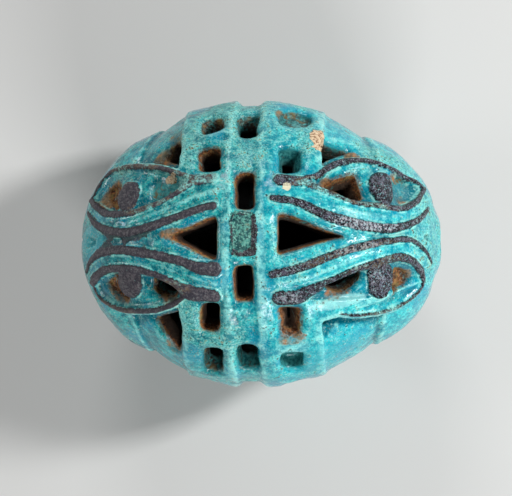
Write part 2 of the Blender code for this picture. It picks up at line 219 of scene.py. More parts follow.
def spline(points, closed=False, parts=5):
    """Smooth curve through places of (x, angle), as arrays of u and angle."""
    place = np.array([(float(u_at(x)), angle) for x, angle in points])
    count = len(place)
    if closed:
        around = np.vstack([place[-1:], place, place[:2]])
        spans = count
    else:
        around = np.vstack([2 * place[:1] - place[1:2], place, 2 * place[-1:] - place[-2:-1]])
        spans = count - 1
    out = []
    for i in range(spans):
        a, b, c, d = around[i : i + 4]
        for t in np.arange(parts) / parts:
            out.append(0.5 * (2 * b + (c - a) * t + (2 * a - 5 * b + 4 * c - d) * t**2
                              + (3 * b - a - 3 * c + d) * t**3))
    if not closed:
        out.append(place[-1])
    out = np.array(out)
    out[:, 0] = np.clip(out[:, 0], map_u[0] + 0.2, map_u[-1] - 0.2)
    return out


def near(path, reach):
    """Map points within about this reach of a path."""
    middle = 0.5 * (path[:, 1].min() + path[:, 1].max())
    spread = 0.5 * (path[:, 1].max() - path[:, 1].min())
    slack = np.degrees(reach / np.maximum(r_at(grid_u), 0.5))
    close = (grid_u > path[:, 0].min() - reach) & (grid_u < path[:, 0].max() + reach)
    close &= np.abs(wrap(grid_angle - middle)) < spread + slack
    return np.nonzero(close)[0], middle


def distance_to(path, index, closed=False):
    """Distance of map points to a path in millimetres, and the share of the way along it."""
    knots = on_barrel(path[:, 0], path[:, 1])
    if closed:
        knots = np.vstack([knots, knots[:1]])
    where = grid_point[index]
    best = np.full(len(index), FAR)
    way = np.zeros(len(index))
    for i in range(len(knots) - 1):
        along = knots[i + 1] - knots[i]
        share = np.clip((where - knots[i]) @ along / max(along @ along, 1e-9), 0.0, 1.0)
        gap = np.linalg.norm(where - knots[i] - share[:, None] * along, axis=1)
        closer = gap < best
        best[closer] = gap[closer]
        way[closer] = (i + share[closer]) / (len(knots) - 1)
    return best, way


def line_map(points, halves, reach=2.0):
    """Distance to the edge of a line whose half widths are given along it; under 0 is on the line."""
    path = spline(points)
    index, _ = near(path, reach)
    gap, way = distance_to(path, index)
    half = np.interp(way, np.linspace(0.0, 1.0, len(halves)), halves)
    out = new_map(FAR)
    out[index] = gap - half
    return out


def region_map(points, reach=2.0, rounded=True):
    """Signed distance to a closed outline; under 0 is inside."""
    parts = 5 if rounded else 1
    path = spline(points, closed=True, parts=parts)
    index, middle = near(path, reach)
    gap, _ = distance_to(path, index, closed=True)
    u = grid_u[index]
    angle = wrap(grid_angle[index] - middle)
    inside = np.zeros(len(index), bool)
    outline = np.column_stack([path[:, 0], path[:, 1] - middle])
    for (u0, a0), (u1, a1) in zip(outline, np.roll(outline, -1, axis=0)):
        crosses = (a0 > angle) != (a1 > angle)
        if a1 != a0:
            inside ^= crosses & (u < (u1 - u0) * (angle - a0) / (a1 - a0) + u0)
    out = new_map(FAR)
    out[index] = np.where(inside, -gap, gap)
    return out


# Eyes: places of (x, angle). The four that show are measured, the others follow one pattern.
# "halves" are half widths along each line, "depths" and "stains" go with inner and outer.
FRONT_EYES = {
    "left_a": {
        "lower": [(-18.1, 42), (-17.7, 48), (-17.0, 52), (-15.9, 52.5), (-14.3, 45.1), (-11.9, 37.6),
                  (-10.4, 34.0), (-8.9, 30.7), (-7.6, 27.6), (-6.3, 24.8), (-5.5, 23.5)],
        "upper": [(-18.1, 42), (-17.4, 29.7), (-16.2, 19.0), (-14.7, 14.2), (-13.3, 12.7), (-11.9, 12.7),
                  (-10.5, 13.8), (-9.2, 15.0), (-8.1, 16.8), (-7.0, 19.0), (-6.1, 21.4), (-5.4, 22.6),
                  (-4.4, 22.7), (-3.4, 22.8)],
        "strip": [(-18.3, 39.1), (-17.8, 26.5), (-16.7, 16.4), (-15.3, 11.2), (-13.7, 8.6), (-12.1, 8.2),
                  (-10.4, 9.6), (-8.6, 11.4), (-6.9, 13.4), (-5.3, 15.6), (-4.2, 16.3), (-3.1, 16.9)],
        "brow": [(-18.3, 28.1), (-17.5, 16.0), (-16.5, 8.8), (-15.1, 4.7), (-13.7, 3.0), (-12.2, 3.0),
                 (-10.8, 4.1), (-9.5, 5.3), (-8.3, 6.6), (-6.9, 8.1), (-5.6, 9.6), (-4.3, 10.9),
                 (-3.2, 11.5)],
        "pupil": [(-14.1, 29.7), (-13.7, 32.4), (-12.9, 31.3), (-12.2, 28.4), (-11.9, 24.5), (-12.0, 19.8),
                  (-12.4, 16.2), (-13.0, 14.3), (-13.9, 15.4), (-14.5, 19.9), (-14.6, 24.5), (-14.5, 28.1)],
        "inner": [(-16.5, 41.9), (-15.5, 39.9), (-14.8, 33.5), (-14.8, 28.6), (-14.9, 24.2), (-14.8, 18.5),
                  (-15.4, 19.3), (-16.1, 26.6), (-16.5, 34.3)],
        "outer": [(-10.6, 27.3), (-9.7, 27.3), (-8.7, 24.7), (-7.6, 24.8), (-7.4, 21.5), (-8.2, 18.8),
                  (-9.4, 17.6), (-10.3, 17.1), (-10.7, 21.9)],
        "halves": {"lower": (0.26, 0.3, 0.32, 0.26), "upper": (0.32, 0.44, 0.38, 0.34, 0.6, 0.6),
                   "brow": (0.35, 0.5, 0.5, 0.44, 0.42)},
        "depths": (1.3, 0.9),
        "stains": (0.75, 0.25),
    },
    "left_b": {
        "brow": [(-18.6, -33.1), (-17.8, -18.2), (-16.9, -11.2), (-15.8, -7.6), (-14.3, -6.2), (-12.7, -6.2),
                 (-11.2, -6.9), (-9.7, -7.7), (-8.5, -8.6), (-7.1, -9.6), (-5.8, -11.1), (-4.5, -12.3),
                 (-3.1, -12.6)],
        "strip": [(-18.3, -43.1), (-17.6, -27.2), (-16.7, -17.7), (-15.4, -12.6), (-14.0, -10.4),
                  (-12.5, -10.3), (-10.8, -11.1), (-9.2, -12.5), (-7.5, -14.0), (-5.8, -15.6), (-4.3, -17.3),
                  (-3.1, -18.4)],
        "upper": [(-17.8, -39.0), (-17.2, -28.7), (-16.1, -20.8), (-14.9, -17.5), (-13.3, -15.5),
                  (-11.6, -15.3), (-10.1, -16.4), (-8.9, -17.8), (-7.8, -19.5), (-6.8, -21.4), (-5.7, -22.5),
                  (-4.3, -22.8), (-3.3, -23.2)],
        "lower": [(-17.8, -39.0), (-17.5, -46.1), (-16.9, -47.9), (-15.9, -45.9), (-14.7, -43.2),
                  (-13.3, -40.1), (-11.6, -36.4), (-10.1, -33.6), (-8.8, -30.9), (-7.6, -27.9),
                  (-6.8, -25.1)],
        "pupil": [(-14.4, -20.9), (-14.0, -16.4), (-13.0, -14.0), (-12.0, -14.9), (-11.6, -18.0),
                  (-11.6, -22.8), (-11.9, -27.8), (-12.7, -31.8), (-13.6, -32.4), (-14.3, -29.7),
                  (-14.6, -25.9)],
        "inner": [(-16.7, -33.2), (-15.8, -25.8), (-15.0, -21.5), (-14.9, -25.9), (-14.7, -30.0),
                  (-14.3, -32.6), (-13.6, -35.0), (-14.2, -37.8), (-15.2, -37.7), (-16.1, -36.0)],
        "outer": [(-10.4, -19.0), (-9.6, -19.2), (-8.5, -20.6), (-7.5, -22.8), (-7.6, -25.9), (-8.5, -27.4),
                  (-9.6, -27.3), (-10.4, -25.6), (-10.6, -22.0)],
        "halves": {"lower": (0.25, 0.3, 0.32, 0.28), "upper": (0.4, 0.5, 0.45, 0.5, 0.9, 0.8),
                   "brow": (0.35, 0.5, 0.5, 0.52, 0.5, 0.8)},
        "depths": (1.2, THROUGH),
    },
    "right_a": {
        "lower": [(6.6, 23.4), (7.9, 25.3), (8.7, 28.7), (9.7, 32.5), (10.8, 35.8), (11.9, 38.2),
                  (13.0, 40.3), (14.1, 42.0), (15.3, 43.2), (16.4, 44.1), (17.5, 45.7), (18.7, 50.3),
                  (19.7, 55.0)],
        "upper": [(3.9, 21.8), (4.8, 22.0), (6.1, 22.0), (7.2, 21.3), (8.4, 19.5), (9.6, 17.9), (10.8, 16.5),
                  (12.1, 15.8), (13.4, 15.9), (14.7, 16.5), (16.0, 17.2), (17.3, 19.6), (18.2, 24.9),
                  (18.9, 32.6), (19.4, 44.4), (19.7, 55.0)],
        "strip": [(3.1, 18.0), (5.0, 17.2), (6.8, 15.4), (8.2, 13.8), (9.7, 12.2), (11.4, 11.2), (13.6, 10.9),
                  (15.5, 11.6), (17.4, 15.2), (18.7, 22.2), (19.7, 34.6), (20.2, 53.3)],
        "brow": [(3.1, 14.3), (4.1, 14.0), (5.1, 13.6), (6.3, 12.4), (7.4, 10.6), (8.5, 8.9), (9.8, 7.3),
                 (11.1, 6.2), (12.5, 5.3), (14.1, 4.7), (15.8, 5.0), (17.1, 7.2), (18.3, 11.4), (19.3, 19.0),
                 (20.0, 30.9)],
        "pupil": [(13.6, 30.3), (14.1, 35.0), (14.8, 38.2), (15.6, 39.0), (16.1, 36.3), (16.3, 29.6),
                  (16.3, 23.7), (15.8, 19.0), (14.9, 17.6), (14.3, 20.6), (13.7, 24.8)],
        "inner": [(16.7, 41.5), (17.2, 43.9), (18.2, 45.2), (18.7, 44.6), (18.4, 36.2), (17.8, 29.1),
                  (17.1, 24.9), (16.9, 26.4), (16.8, 33.0)],
        "outer": [(8.5, 22.7), (9.3, 26.2), (10.4, 29.5), (11.5, 32.3), (12.4, 32.9), (12.8, 29.5),
                  (13.1, 24.4), (13.2, 19.8), (12.5, 17.9), (11.3, 17.9), (10.3, 19.4), (9.3, 21.0)],
        "halves": {"lower": (0.3, 0.38, 0.34, 0.3, 0.24), "upper": (0.74, 0.55, 0.3, 0.32, 0.38, 0.34, 0.26),
                   "brow": (0.35, 0.42, 0.52, 0.6, 0.55, 0.4, 0.3)},
        "depths": (0.7, THROUGH),
        "stains": (0.35, 0.85),
    },
    "right_b": {
        "brow": [(3.1, -14.5), (4.0, -14.0), (5.1, -13.2), (6.2, -12.1), (7.3, -10.9), (8.3, -9.5),
                 (9.4, -8.0), (10.5, -6.7), (11.5, -5.5), (12.6, -4.5), (13.7, -3.4), (14.9, -2.1),
                 (16.0, -1.5), (17.2, -0.5), (18.2, -1.5), (19.2, -6.0), (19.9, -13.2), (20.3, -23.5)],
        "strip": [(3.4, -17.2), (5.2, -17.1), (7.1, -15.9), (9.3, -13.4), (11.4, -11.0), (13.6, -8.4),
                  (15.3, -6.6), (17.0, -6.8), (18.2, -9.8), (19.2, -15.6), (19.9, -25.0)],
        "upper": [(3.9, -24.0), (4.7, -24.3), (6.0, -24.0), (7.2, -22.1), (8.3, -20.4), (9.4, -18.7),
                  (10.5, -17.2), (11.5, -15.7), (12.6, -14.4), (13.7, -13.5), (14.9, -12.2), (16.0, -11.5),
                  (17.0, -11.7), (17.9, -14.2), (18.6, -18.9), (19.2, -26.4), (19.5, -35.8)],
        "lower": [(19.5, -35.8), (19.3, -42.5), (18.5, -45.1), (17.5, -45.7), (16.5, -44.5), (15.2, -42.6),
                  (14.0, -40.6), (12.8, -38.9), (11.6, -37.3), (10.4, -35.0)],
        "pupil": [(13.5, -15.9), (14.0, -13.4), (14.9, -13.0), (15.8, -15.0), (16.2, -19.4), (16.2, -26.1),
                  (15.9, -31.0), (15.1, -32.7), (14.2, -31.4), (13.6, -27.1), (13.5, -21.3)],
        "inner": [(16.6, -19.6), (17.1, -18.8), (17.8, -20.9), (18.2, -26.0), (18.3, -32.0), (17.7, -34.3),
                  (17.0, -33.0), (16.6, -36.6), (16.2, -36.6), (16.5, -30.3)],
        "outer": [(8.8, -21.4), (9.8, -20.2), (10.9, -18.9), (12.0, -17.5), (12.8, -17.0), (12.7, -20.1),
                  (12.1, -23.5), (11.3, -25.7), (10.5, -26.0), (9.7, -24.5)],
        "halves": {"lower": (0.22, 0.22, 0.2, 0.12), "upper": (0.88, 0.8, 0.42, 0.46, 0.5, 0.42, 0.36),
                   "brow": (0.4, 0.46, 0.42, 0.4, 0.3, 0.26)},
        "depths": (1.3, THROUGH),
    },
}

# Openings that show: how brown their edge is, how deep they are, and their outline of (x, angle)
FRONT_OPENINGS = {
    "triangle_left": (1.0, THROUGH, [(-2.95, 6.9), (-2.85, -0.9), (-2.95, -8.6), (-3.8, -8.6), (-5.8, -5.5),
                                     (-7.6, -2.4), (-8.2, 0.0), (-7.7, 2.0), (-5.8, 4.7), (-3.8, 7.1)]),
    "triangle_right": (0.8, THROUGH, [(3.7, 8.0), (3.65, 0.2), (3.7, -6.9), (4.5, -7.0), (6.6, -4.8),
                                      (8.8, -2.5), (10.6, -0.5), (10.7, 0.3), (8.8, 3.0), (6.6, 6.2),
                                      (4.7, 8.5)]),
    "upper_left_1": (0.8, THROUGH, [(-5.2, 38.6), (-2.9, 38.1), (-2.8, 31.7), (-2.9, 27.4), (-4.9, 27.5),
                                    (-5.2, 32.8)]),
    "upper_left_2": (0.6, THROUGH, [(-5.2, 59.6), (-3.0, 58.4), (-2.8, 49.4), (-4.9, 48.0)]),
    "upper_right_1": (0.1, THROUGH, [(3.8, 37.6), (6.0, 38.4), (6.2, 32.7), (6.0, 27.3), (3.9, 26.2),
                                     (3.75, 31.7)]),
    "upper_right_2": (0.45, 1.0, [(3.5, 60.6), (4.0, 65.8), (5.3, 68.6), (6.9, 66.7), (7.2, 60.7),
                                  (6.5, 54.6), (4.8, 52.2), (3.6, 53.9)]),
    "lower_left_1": (0.9, THROUGH, [(-4.7, -28.0), (-2.9, -27.3), (-2.8, -32.4), (-3.0, -39.2), (-4.7, -40.2),
                                    (-5.1, -35.0)]),
    "lower_left_2": (0.5, THROUGH, [(-4.7, -51.0), (-2.9, -49.6), (-2.8, -56.6), (-3.1, -66.4), (-5.0, -67.7),
                                    (-5.1, -58.5)]),
    "lower_right_1": (0.8, THROUGH, [(3.8, -29.0), (6.1, -29.6), (6.3, -35.5), (5.9, -43.0), (3.9, -42.2),
                                     (3.7, -34.3)]),
    "lower_right_2": (0.1, 1.9, [(3.8, -53.0), (6.1, -54.0), (6.2, -59.8), (5.8, -65.6), (3.9, -64.0)]),
    "band_1": (0.5, THROUGH, [(-1.0, 60.2), (1.1, 60.8), (1.2, 52.6), (1.1, 45.0), (-0.8, 44.8),
                              (-1.1, 51.9)]),
    "band_2": (0.9, THROUGH, [(-0.9, 25.3), (1.1, 25.7), (1.2, 18.3), (1.1, 10.9), (-0.8, 10.9),
                              (-1.0, 18.3)]),
    "band_3": (0.9, THROUGH, [(-1.0, -12.4), (-0.1, -11.2), (0.9, -11.6), (1.1, -14.8), (1.1, -21.4),
                              (0.9, -25.5), (-0.1, -26.3), (-1.0, -25.5), (-1.2, -19.0)]),
    "band_4": (0.35, THROUGH, [(-1.0, -48.2), (1.1, -48.0), (1.2, -54.6), (1.1, -62.4), (-0.9, -62.9),
                               (-1.2, -54.5)]),
    "corner_upper_left": (0.7, THROUGH, [(-9.8, 42.5), (-9.2, 46.6), (-8.6, 49.4), (-8.0, 49.4), (-7.6, 46.8),
                                         (-7.4, 42.1), (-7.7, 37.8), (-8.6, 38.2)]),
    "corner_upper_right": (0.5, THROUGH, [(8.4, 47.4), (9.5, 48.4), (10.4, 49.7), (11.4, 51.4), (11.9, 50.9),
                                          (11.4, 47.7), (10.4, 43.6), (9.6, 40.6), (9.0, 38.2), (8.5, 39.6),
                                          (8.3, 43.5)]),
    "corner_lower_left": (0.95, THROUGH, [(-11.0, -44.6), (-9.8, -40.0), (-8.6, -37.4), (-7.6, -36.6),
                                          (-7.3, -41.0), (-7.4, -46.8), (-7.7, -54.4), (-8.2, -58.6),
                                          (-8.7, -56.9), (-9.4, -52.7), (-10.3, -48.5)]),
    "corner_lower_right": (0.3, THROUGH, [(8.7, -43.9), (9.2, -39.8), (10.1, -38.6), (10.3, -40.8),
                                          (9.6, -43.4), (9.0, -46.0)]),
}


def half_of(side):
    """Left or right half: its way, its length, where the rib ends and where the hidden step stands."""
    if side < 0:
        return {"side": -1, "length": LEFT, "foot": LEFT_RIB[1], "tip": 0.47, "name": "left"}
    return {"side": 1, "length": RIGHT, "foot": RIGHT_RIB[1], "tip": 0.56, "name": "right"}


def x_of_share(half, share):
    return half["side"] * (half["foot"] + (half["length"] - half["foot"]) * share)


def pattern_eye(half, middle, turned):
    """Eye of the pair that doesn't show, drawn from the pattern that the four in front share."""

    def place(share, arc):
        x = x_of_share(half, share)
        return (x, middle + turned * math.degrees(arc / float(barrel(np.array(x)))))

    def chord(share):
        return LID_ARC - LID_ARC_FALL * (share - LIDS_FROM) / LIDS_SPAN

    def lid(share, bulge, skew, fullness):
        way = min(max((share - LIDS_FROM) / LIDS_SPAN, 0.0), 1.0)
        return chord(share) + bulge * math.sin(math.pi * way**skew) ** fullness

    def brow(share):
        if share < BROW_DIP:
            return BROW_ARC + 3.2 * (1.0 - share / BROW_DIP) ** 1.3
        return BROW_ARC + 3.1 * ((share - BROW_DIP) / BROW_END) ** 2.2

    shares = [LIDS_FROM + LIDS_SPAN * (0.5 - 0.5 * math.cos(math.pi * i / 10)) for i in range(11)]
    upper = [(s, lid(s, *UPPER_LID)) for s in shares]
    lower = [(s, lid(s, *LOWER_LID)) for s in shares]
    brows = [(-0.02 + 0.935 * math.sin(0.5 * math.pi * i / 10)) for i in range(11)]
    around = [2 * math.pi * i / 12 for i in range(12)]
    outer = [(0.28, -0.3), (0.36, -1.1), (0.46, -1.7), (0.475, 0.0), (0.46, 1.7), (0.36, 1.1), (0.28, 0.3)]
    inner = [(0.72, -1.9), (0.72, 0.0), (0.72, 1.9), (0.78, 1.5), (0.82, 0.8), (0.82, -0.8), (0.78, -1.5)]

    def centred(points):
        """Places of an opening, from the middle between the lids."""
        return [place(s, chord(s) + 0.5 * (lid(s, *UPPER_LID) + lid(s, *LOWER_LID) - 2 * chord(s)) + a)
                for s, a in points]

    return {
        "upper": [place(0.0, chord(0.0))] + [place(s, a) for s, a in upper],
        "lower": [place(s, a) for s, a in lower],
        "brow": [place(s, brow(s)) for s in brows],
        "strip": [place(s, 0.5 * (brow(s) + lid(s, *UPPER_LID))) for s in brows[1:-1]],
        "pupil": [place(0.61 + 0.1 * math.cos(t) * 0.95, 5.2 + 2.1 * math.sin(t)) for t in around],
        "inner": centred(inner),
        "outer": centred(outer),
        "halves": {"lower": (0.36, 0.4, 0.36), "upper": (0.75, 0.5, 0.42, 0.42), "brow": (0.46, 0.46, 0.4)},
        "depths": (1.2, THROUGH),
    }


def pattern_hole(half, shares, middle, half_arc):
    """Outline of a hole with rounded corners."""
    centre = 0.5 * (shares[0] + shares[1])
    reach = 0.5 * (shares[1] - shares[0])
    corners = [(-1, -0.7), (-0.7, -1), (0.7, -1), (1, -0.7), (1, 0.7), (0.7, 1), (-0.7, 1), (-1, 0.7)]
    return [(x_of_share(half, centre + a * reach), middle + b * half_arc) for a, b in corners]


def pattern_openings():
    """Openings of the sides and of the pair that doesn't show."""
    out = {}
    for side in (-1, 1):
        half = half_of(side)
        name = half["name"]
        for middle in (90, 180 + 34, 180 + 57, 180 - 34, 180 - 57, 270):
            out[f"{name}_hole_{middle}"] = (0.6, THROUGH, pattern_hole(half, (0.012, 0.135), middle, 6.6))
        upper = [(0.015, 8.3), (0.07, 7.6), (0.2, 4.4), (0.33, 1.3), (0.38, 0.0)]
        triangle = [(0.015, -8.3), (0.015, 0.0)] + upper + [(s, -a) for s, a in upper[-2:0:-1]]
        out[f"{name}_triangle_back"] = (0.8, THROUGH, [(x_of_share(half, s), 180 + a) for s, a in triangle])
        for turned in (1, -1):
            corner = [(0.275, 38.0), (0.275, 46.0), (0.34, 44.5), (0.42, 43.0), (0.49, 42.6), (0.42, 39.4),
                      (0.34, 36.8)]
            outline = [(x_of_share(half, s), 180 + turned * a) for s, a in corner]
            out[f"{name}_corner_back_{turned}"] = (0.6, THROUGH, outline)
    right = half_of(1)
    span = right["length"] - right["foot"]
    band = ((-1.12 - right["foot"]) / span, (1.12 - right["foot"]) / span)
    for middle in (90, 180 + 18.7, 180 - 18.7, 180 + 53.5, 180 - 53.5, 270):
        out[f"band_hole_{middle:.0f}"] = (0.6, THROUGH, pattern_hole(right, band, middle, 7.5))
    return out


def ellipse(x, angle, half_x, half_angle):
    """1 in the middle of an oval patch, falling to 0 at its edge."""
    away = ((grid_x - x) / half_x) ** 2 + (wrap(grid_angle - angle) / half_angle) ** 2
    return smooth(-away, -1.0, -0.35)


def patches(rows):
    """Map of oval patches: (strength, x, angle, half length, half angle)."""
    out = new_map()
    for strength, x, angle, half_x, half_angle in rows:
        out = np.maximum(out, strength * ellipse(x, angle, half_x, half_angle))
    return out


# Fill the maps: height over the barrel, openings, recesses, paint and stains
height = new_map()
through = new_map(FAR)
recess = new_map(FAR)
floor_depth = new_map()
paint = new_map(FAR)
stain = new_map()
edge_gap = new_map(FAR)
gloom = new_map()

# Ribs and the channel between them: lowest on the side that shows
RIB_SHOWN = 0.4
CHANNEL_SHOWN = 0.12
CHANNEL_SIDE = 0.4
on_x = grid_x + layered(grid_point, 5.0, SEED) * 0.1
rib_left = smooth(on_x, -6.2, -2.4) * smooth(-on_x, LEFT_RIB[0] - 0.45, LEFT_RIB[0] + 0.35)
rib_right = smooth(-on_x, -7.4, -2.7) * smooth(on_x, RIGHT_RIB[0] - 0.45, RIGHT_RIB[0] + 0.35)
crown = smooth(-np.abs(barrel(grid_x) - BODY), -0.9, -0.1)
rib_share = RIB_SHOWN + (1.0 - RIB_SHOWN) * smooth(np.abs(wrap(grid_angle)), 48.0, 78.0)
height += RIB_RISE * rib_share * crown * (rib_left + rib_right)
channel = smooth(on_x, -LEFT_RIB[0] - 0.3, -LEFT_RIB[0] + 0.5)
channel *= smooth(-on_x, -RIGHT_RIB[0] - 0.3, -RIGHT_RIB[0] + 0.5)
height -= (CHANNEL_SHOWN + CHANNEL_SIDE * np.exp(-((wrap(grid_angle - 88.0) / 12.0) ** 2))) * channel

eyes = {}
for side in (-1, 1):
    half = half_of(side)
    for key, turned in (("a", 1), ("b", -1)):
        eyes[f"{half['name']}_{key}"] = FRONT_EYES[f"{half['name']}_{key}"]
        eyes[f"{half['name']}_back_{key}"] = pattern_eye(half, 180.0, turned)

# Lowered field between the pairs, in shares of the way from rib to end: where it starts, where its
# step stands beside the lids, and where the step stands halfway between the two pairs
FRONT_TIPS = {"left_a": 0.46, "left_b": 0.55, "right_a": 0.54, "right_b": 0.61}
FIELD_FROM = 0.27
FIELD_TO = 0.66
FIELD_SHALLOW = 0.35
FIELD_DEEPER = 0.75
VALLEY_DEPTH = 2.1
STEP_DEPTH = 0.6
LID_EDGE = 0.7
edge_wander = 0.012 * layered(grid_point, 2.5, SEED + 5, 2)
for side in (-1, 1):
    half = half_of(side)
    name = half["name"]
    share = (side * grid_x - half["foot"]) / (half["length"] - half["foot"])
    on_half = side * grid_x > 0
    for centre, key in ((90.0, "a"), (-90.0, "b")):
        before, after = f"{name}_{key}", f"{name}_back_{key}"
        away = wrap(grid_angle - centre)
        seen_tip = FRONT_TIPS[before]
        tip_here = seen_tip + (half["tip"] - seen_tip) * smooth(np.abs(wrap(grid_angle)), 95.0, 130.0)
        for eye_name, sign in ((before, -math.copysign(1.0, centre)), (after, math.copysign(1.0, centre))):
            path = spline(eyes[eye_name]["lower"])
            order = np.argsort(path[:, 0])
            lid = np.interp(grid_u, path[order, 0], path[order, 1])
            lid_gap = np.abs(wrap(lid - centre)) - np.degrees(LID_EDGE / np.maximum(r_at(grid_u), 2.0))
            mine = on_half & ((away * sign > 0) | ((away == 0) & (sign > 0))) & (np.abs(away) < 90)
            way = np.clip(1.0 - np.abs(away) / np.maximum(lid_gap, 1.0), 0.0, 1.0)
            edge = FIELD_TO + (tip_here - FIELD_TO) * way**0.8 + edge_wander
            along = np.clip((share - FIELD_FROM) / (edge - FIELD_FROM), 0.0, 1.0)
            depth = FIELD_SHALLOW + FIELD_DEEPER * along
            valley = smooth(-way, -0.32, 0.02)
            depth = depth + (VALLEY_DEPTH - depth) * valley * (1.0 - 0.75 * along)
            before_edge = smooth(edge - share, -0.008, 0.02)
            tip = STEP_DEPTH * (1.0 - smooth(share - edge, 0.0, 0.17))
            depth = depth * before_edge + tip * (1.0 - before_edge)
            depth *= smooth(share, 0.258, 0.285)
            beside = smooth(lid_gap - np.abs(away), -0.2, 1.6)
            height -= np.where(mine, depth * beside, 0.0)

# Facets at both ends between the brows, a little lower than the eyes
HUB_DEPTH = 0.55
HUB_REACH = 2.4
HUBS = {
    "left": [(-19.9, 40.0), (-18.6, 26.2), (-17.4, 11.3), (-16.3, 3.8), (-15.6, -0.4), (-15.8, -4.1),
             (-16.6, -7.7), (-17.5, -14.0), (-18.6, -30.4), (-19.7, -53.6)],
    "right": [(21.3, 45.0), (20.6, 27.0), (19.7, 15.0), (18.8, 8.6), (18.0, 4.6), (17.9, 1.2), (18.5, -1.8),
              (19.4, -6.0), (20.1, -13.0), (20.7, -27.0), (21.3, -50.0)],
}
hub_edge = new_map(FAR)
for outline in HUBS.values():
    for turned in (0.0, 180.0):
        path = spline([(x, angle + turned) for x, angle in outline])
        index, _ = near(path, HUB_REACH)
        gap, _ = distance_to(path, index)
        order = np.argsort(path[:, 1])
        border = np.interp(wrap(grid_angle[index] - turned), wrap(path[order, 1] - turned),
                           np.abs(path[order, 0]))
        beyond = np.abs(grid_x[index]) > border
        signed = np.where(beyond, -gap, gap)
        hub_edge[index] = np.where(np.abs(signed) < np.abs(hub_edge[index]), signed, hub_edge[index])
height -= HUB_DEPTH * smooth(-hub_edge, -0.1, 0.35) * smooth(HUB_REACH + hub_edge, 0.0, 1.4)


def cut(opening, depth, brown, stain_edge):
    """Open the wall inside this outline, or sink a recess of this depth, and stain its walls brown."""
    np.minimum(edge_gap, opening, out=edge_gap)
    if depth == THROUGH:
        np.minimum(through, opening, out=through)
    else:
        floor_depth[opening < recess] = depth
        np.minimum(recess, opening, out=recess)
    np.maximum(stain, brown * smooth(-opening, *stain_edge), out=stain)


def socket_outline(eye):
    """Closed outline of the hollow between an eye's lids."""
    if eye["upper"][0] == eye["lower"][0]:
        return eye["upper"][::-1] + eye["lower"][1:]
    return eye["upper"] + eye["lower"][::-1]


# Eyes: socket between the lids, raised band, lids, brow and pupil
SOCKET_DEPTH = 0.42
STRIP_RISE = 0.28
STRIP_HALF = 0.6
LINE_RISES = {"lower": 0.3, "upper": 0.32, "brow": 0.34}
PUPIL_RISE = 0.45
PUPIL_DOME = 0.12
EYE_STAIN = (-0.35, 0.1)
OPENING_STAIN = (-0.6, 0.15)
raised = new_map()
for eye in eyes.values():
    socket = region_map(socket_outline(eye), reach=1.0, rounded=False)
    height -= SOCKET_DEPTH * smooth(-socket, 0.1, 0.8)
    strip = line_map(eye["strip"], (0.0, 0.0), 2.4)
    height += STRIP_RISE * np.exp(-((strip / STRIP_HALF) ** 2))
    for part, rise in LINE_RISES.items():
        edge = line_map(eye[part], eye["halves"][part])
        paint = np.minimum(paint, edge)
        raised = np.maximum(raised, rise * smooth(-edge, -0.12, 0.16))
    pupil = region_map(eye["pupil"])
    paint = np.minimum(paint, pupil)
    dome = PUPIL_RISE * smooth(-pupil, -0.1, 0.2) + PUPIL_DOME * smooth(-pupil, 0.2, 1.2)
    raised = np.maximum(raised, dome)
    for part, depth, brown in zip(("inner", "outer"), eye["depths"], eye.get("stains", (0.75, 0.75))):
        cut(region_map(eye[part]), depth, brown, EYE_STAIN)
height += raised

openings = dict(FRONT_OPENINGS)
openings.update(pattern_openings())
for name, (brown, depth, outline) in openings.items():
    opening = region_map(outline)
    # corner openings are marked for extra painted shade on their walls
    if name.startswith("corner"):
        gloom = np.maximum(gloom, smooth(-opening, -0.4, 0.2))
    cut(opening, depth, brown, OPENING_STAIN)

# Hand-made unevenness, slumped edges and a few larger pits
SLUMP = 0.2
PITS = 420
PIT_SIZES = (0.14, 0.4)
PIT_DEPTHS = (0.08, 0.2)
rough = layered(grid_point, 3.6, SEED + 10) * 0.09 + layered(grid_point, 1.1, SEED + 20, 2) * 0.05
height += rough
height -= SLUMP * smooth(-edge_gap, -0.8, 0.05)
through += layered(grid_point, 1.3, SEED + 30, 2) * 0.1
recess += layered(grid_point, 1.3, SEED + 31, 2) * 0.08
floor_depth += layered(grid_point, 1.2, SEED + 32, 2) * 0.15

rng = np.random.default_rng(SEED)
pits = new_map()
for _ in range(PITS):
    u = rng.uniform(map_u[0] + 3, map_u[-1] - 3)
    angle = rng.uniform(-90, 270)
    size = rng.uniform(*PIT_SIZES)
    path = np.array([[u, angle], [u + 0.01, angle]])
    index, _ = near(path, 1.0)
    gap, _ = distance_to(path, index)
    pits[index] = np.maximum(pits[index], rng.uniform(*PIT_DEPTHS) * smooth(-gap, -size, 0.0))
height -= pits


def evening(reach, cell):
    """Offsets and weights that even values out over this reach, in steps of a cell."""
    cells = reach / cell
    taps = np.arange(-int(3 * cells), int(3 * cells) + 1)
    weights = np.exp(-0.5 * (taps / cells) ** 2)
    return taps, weights / weights.sum()


def blurred(values, reach):
    """Map evened out over about this reach in millimetres."""
    table = values.reshape(len(map_u), COLUMNS)
    taps, weights = evening(reach, STEP_U)
    padded = np.pad(table, ((len(taps) // 2, len(taps) // 2), (0, 0)), mode="edge")
    rows = sum(w * padded[i : i + len(map_u)] for i, w in enumerate(weights))
    taps, weights = evening(reach, 2 * math.pi * USUAL_RADIUS / COLUMNS)
    return sum(w * np.roll(rows, -k, axis=1) for k, w in zip(taps, weights)).ravel()


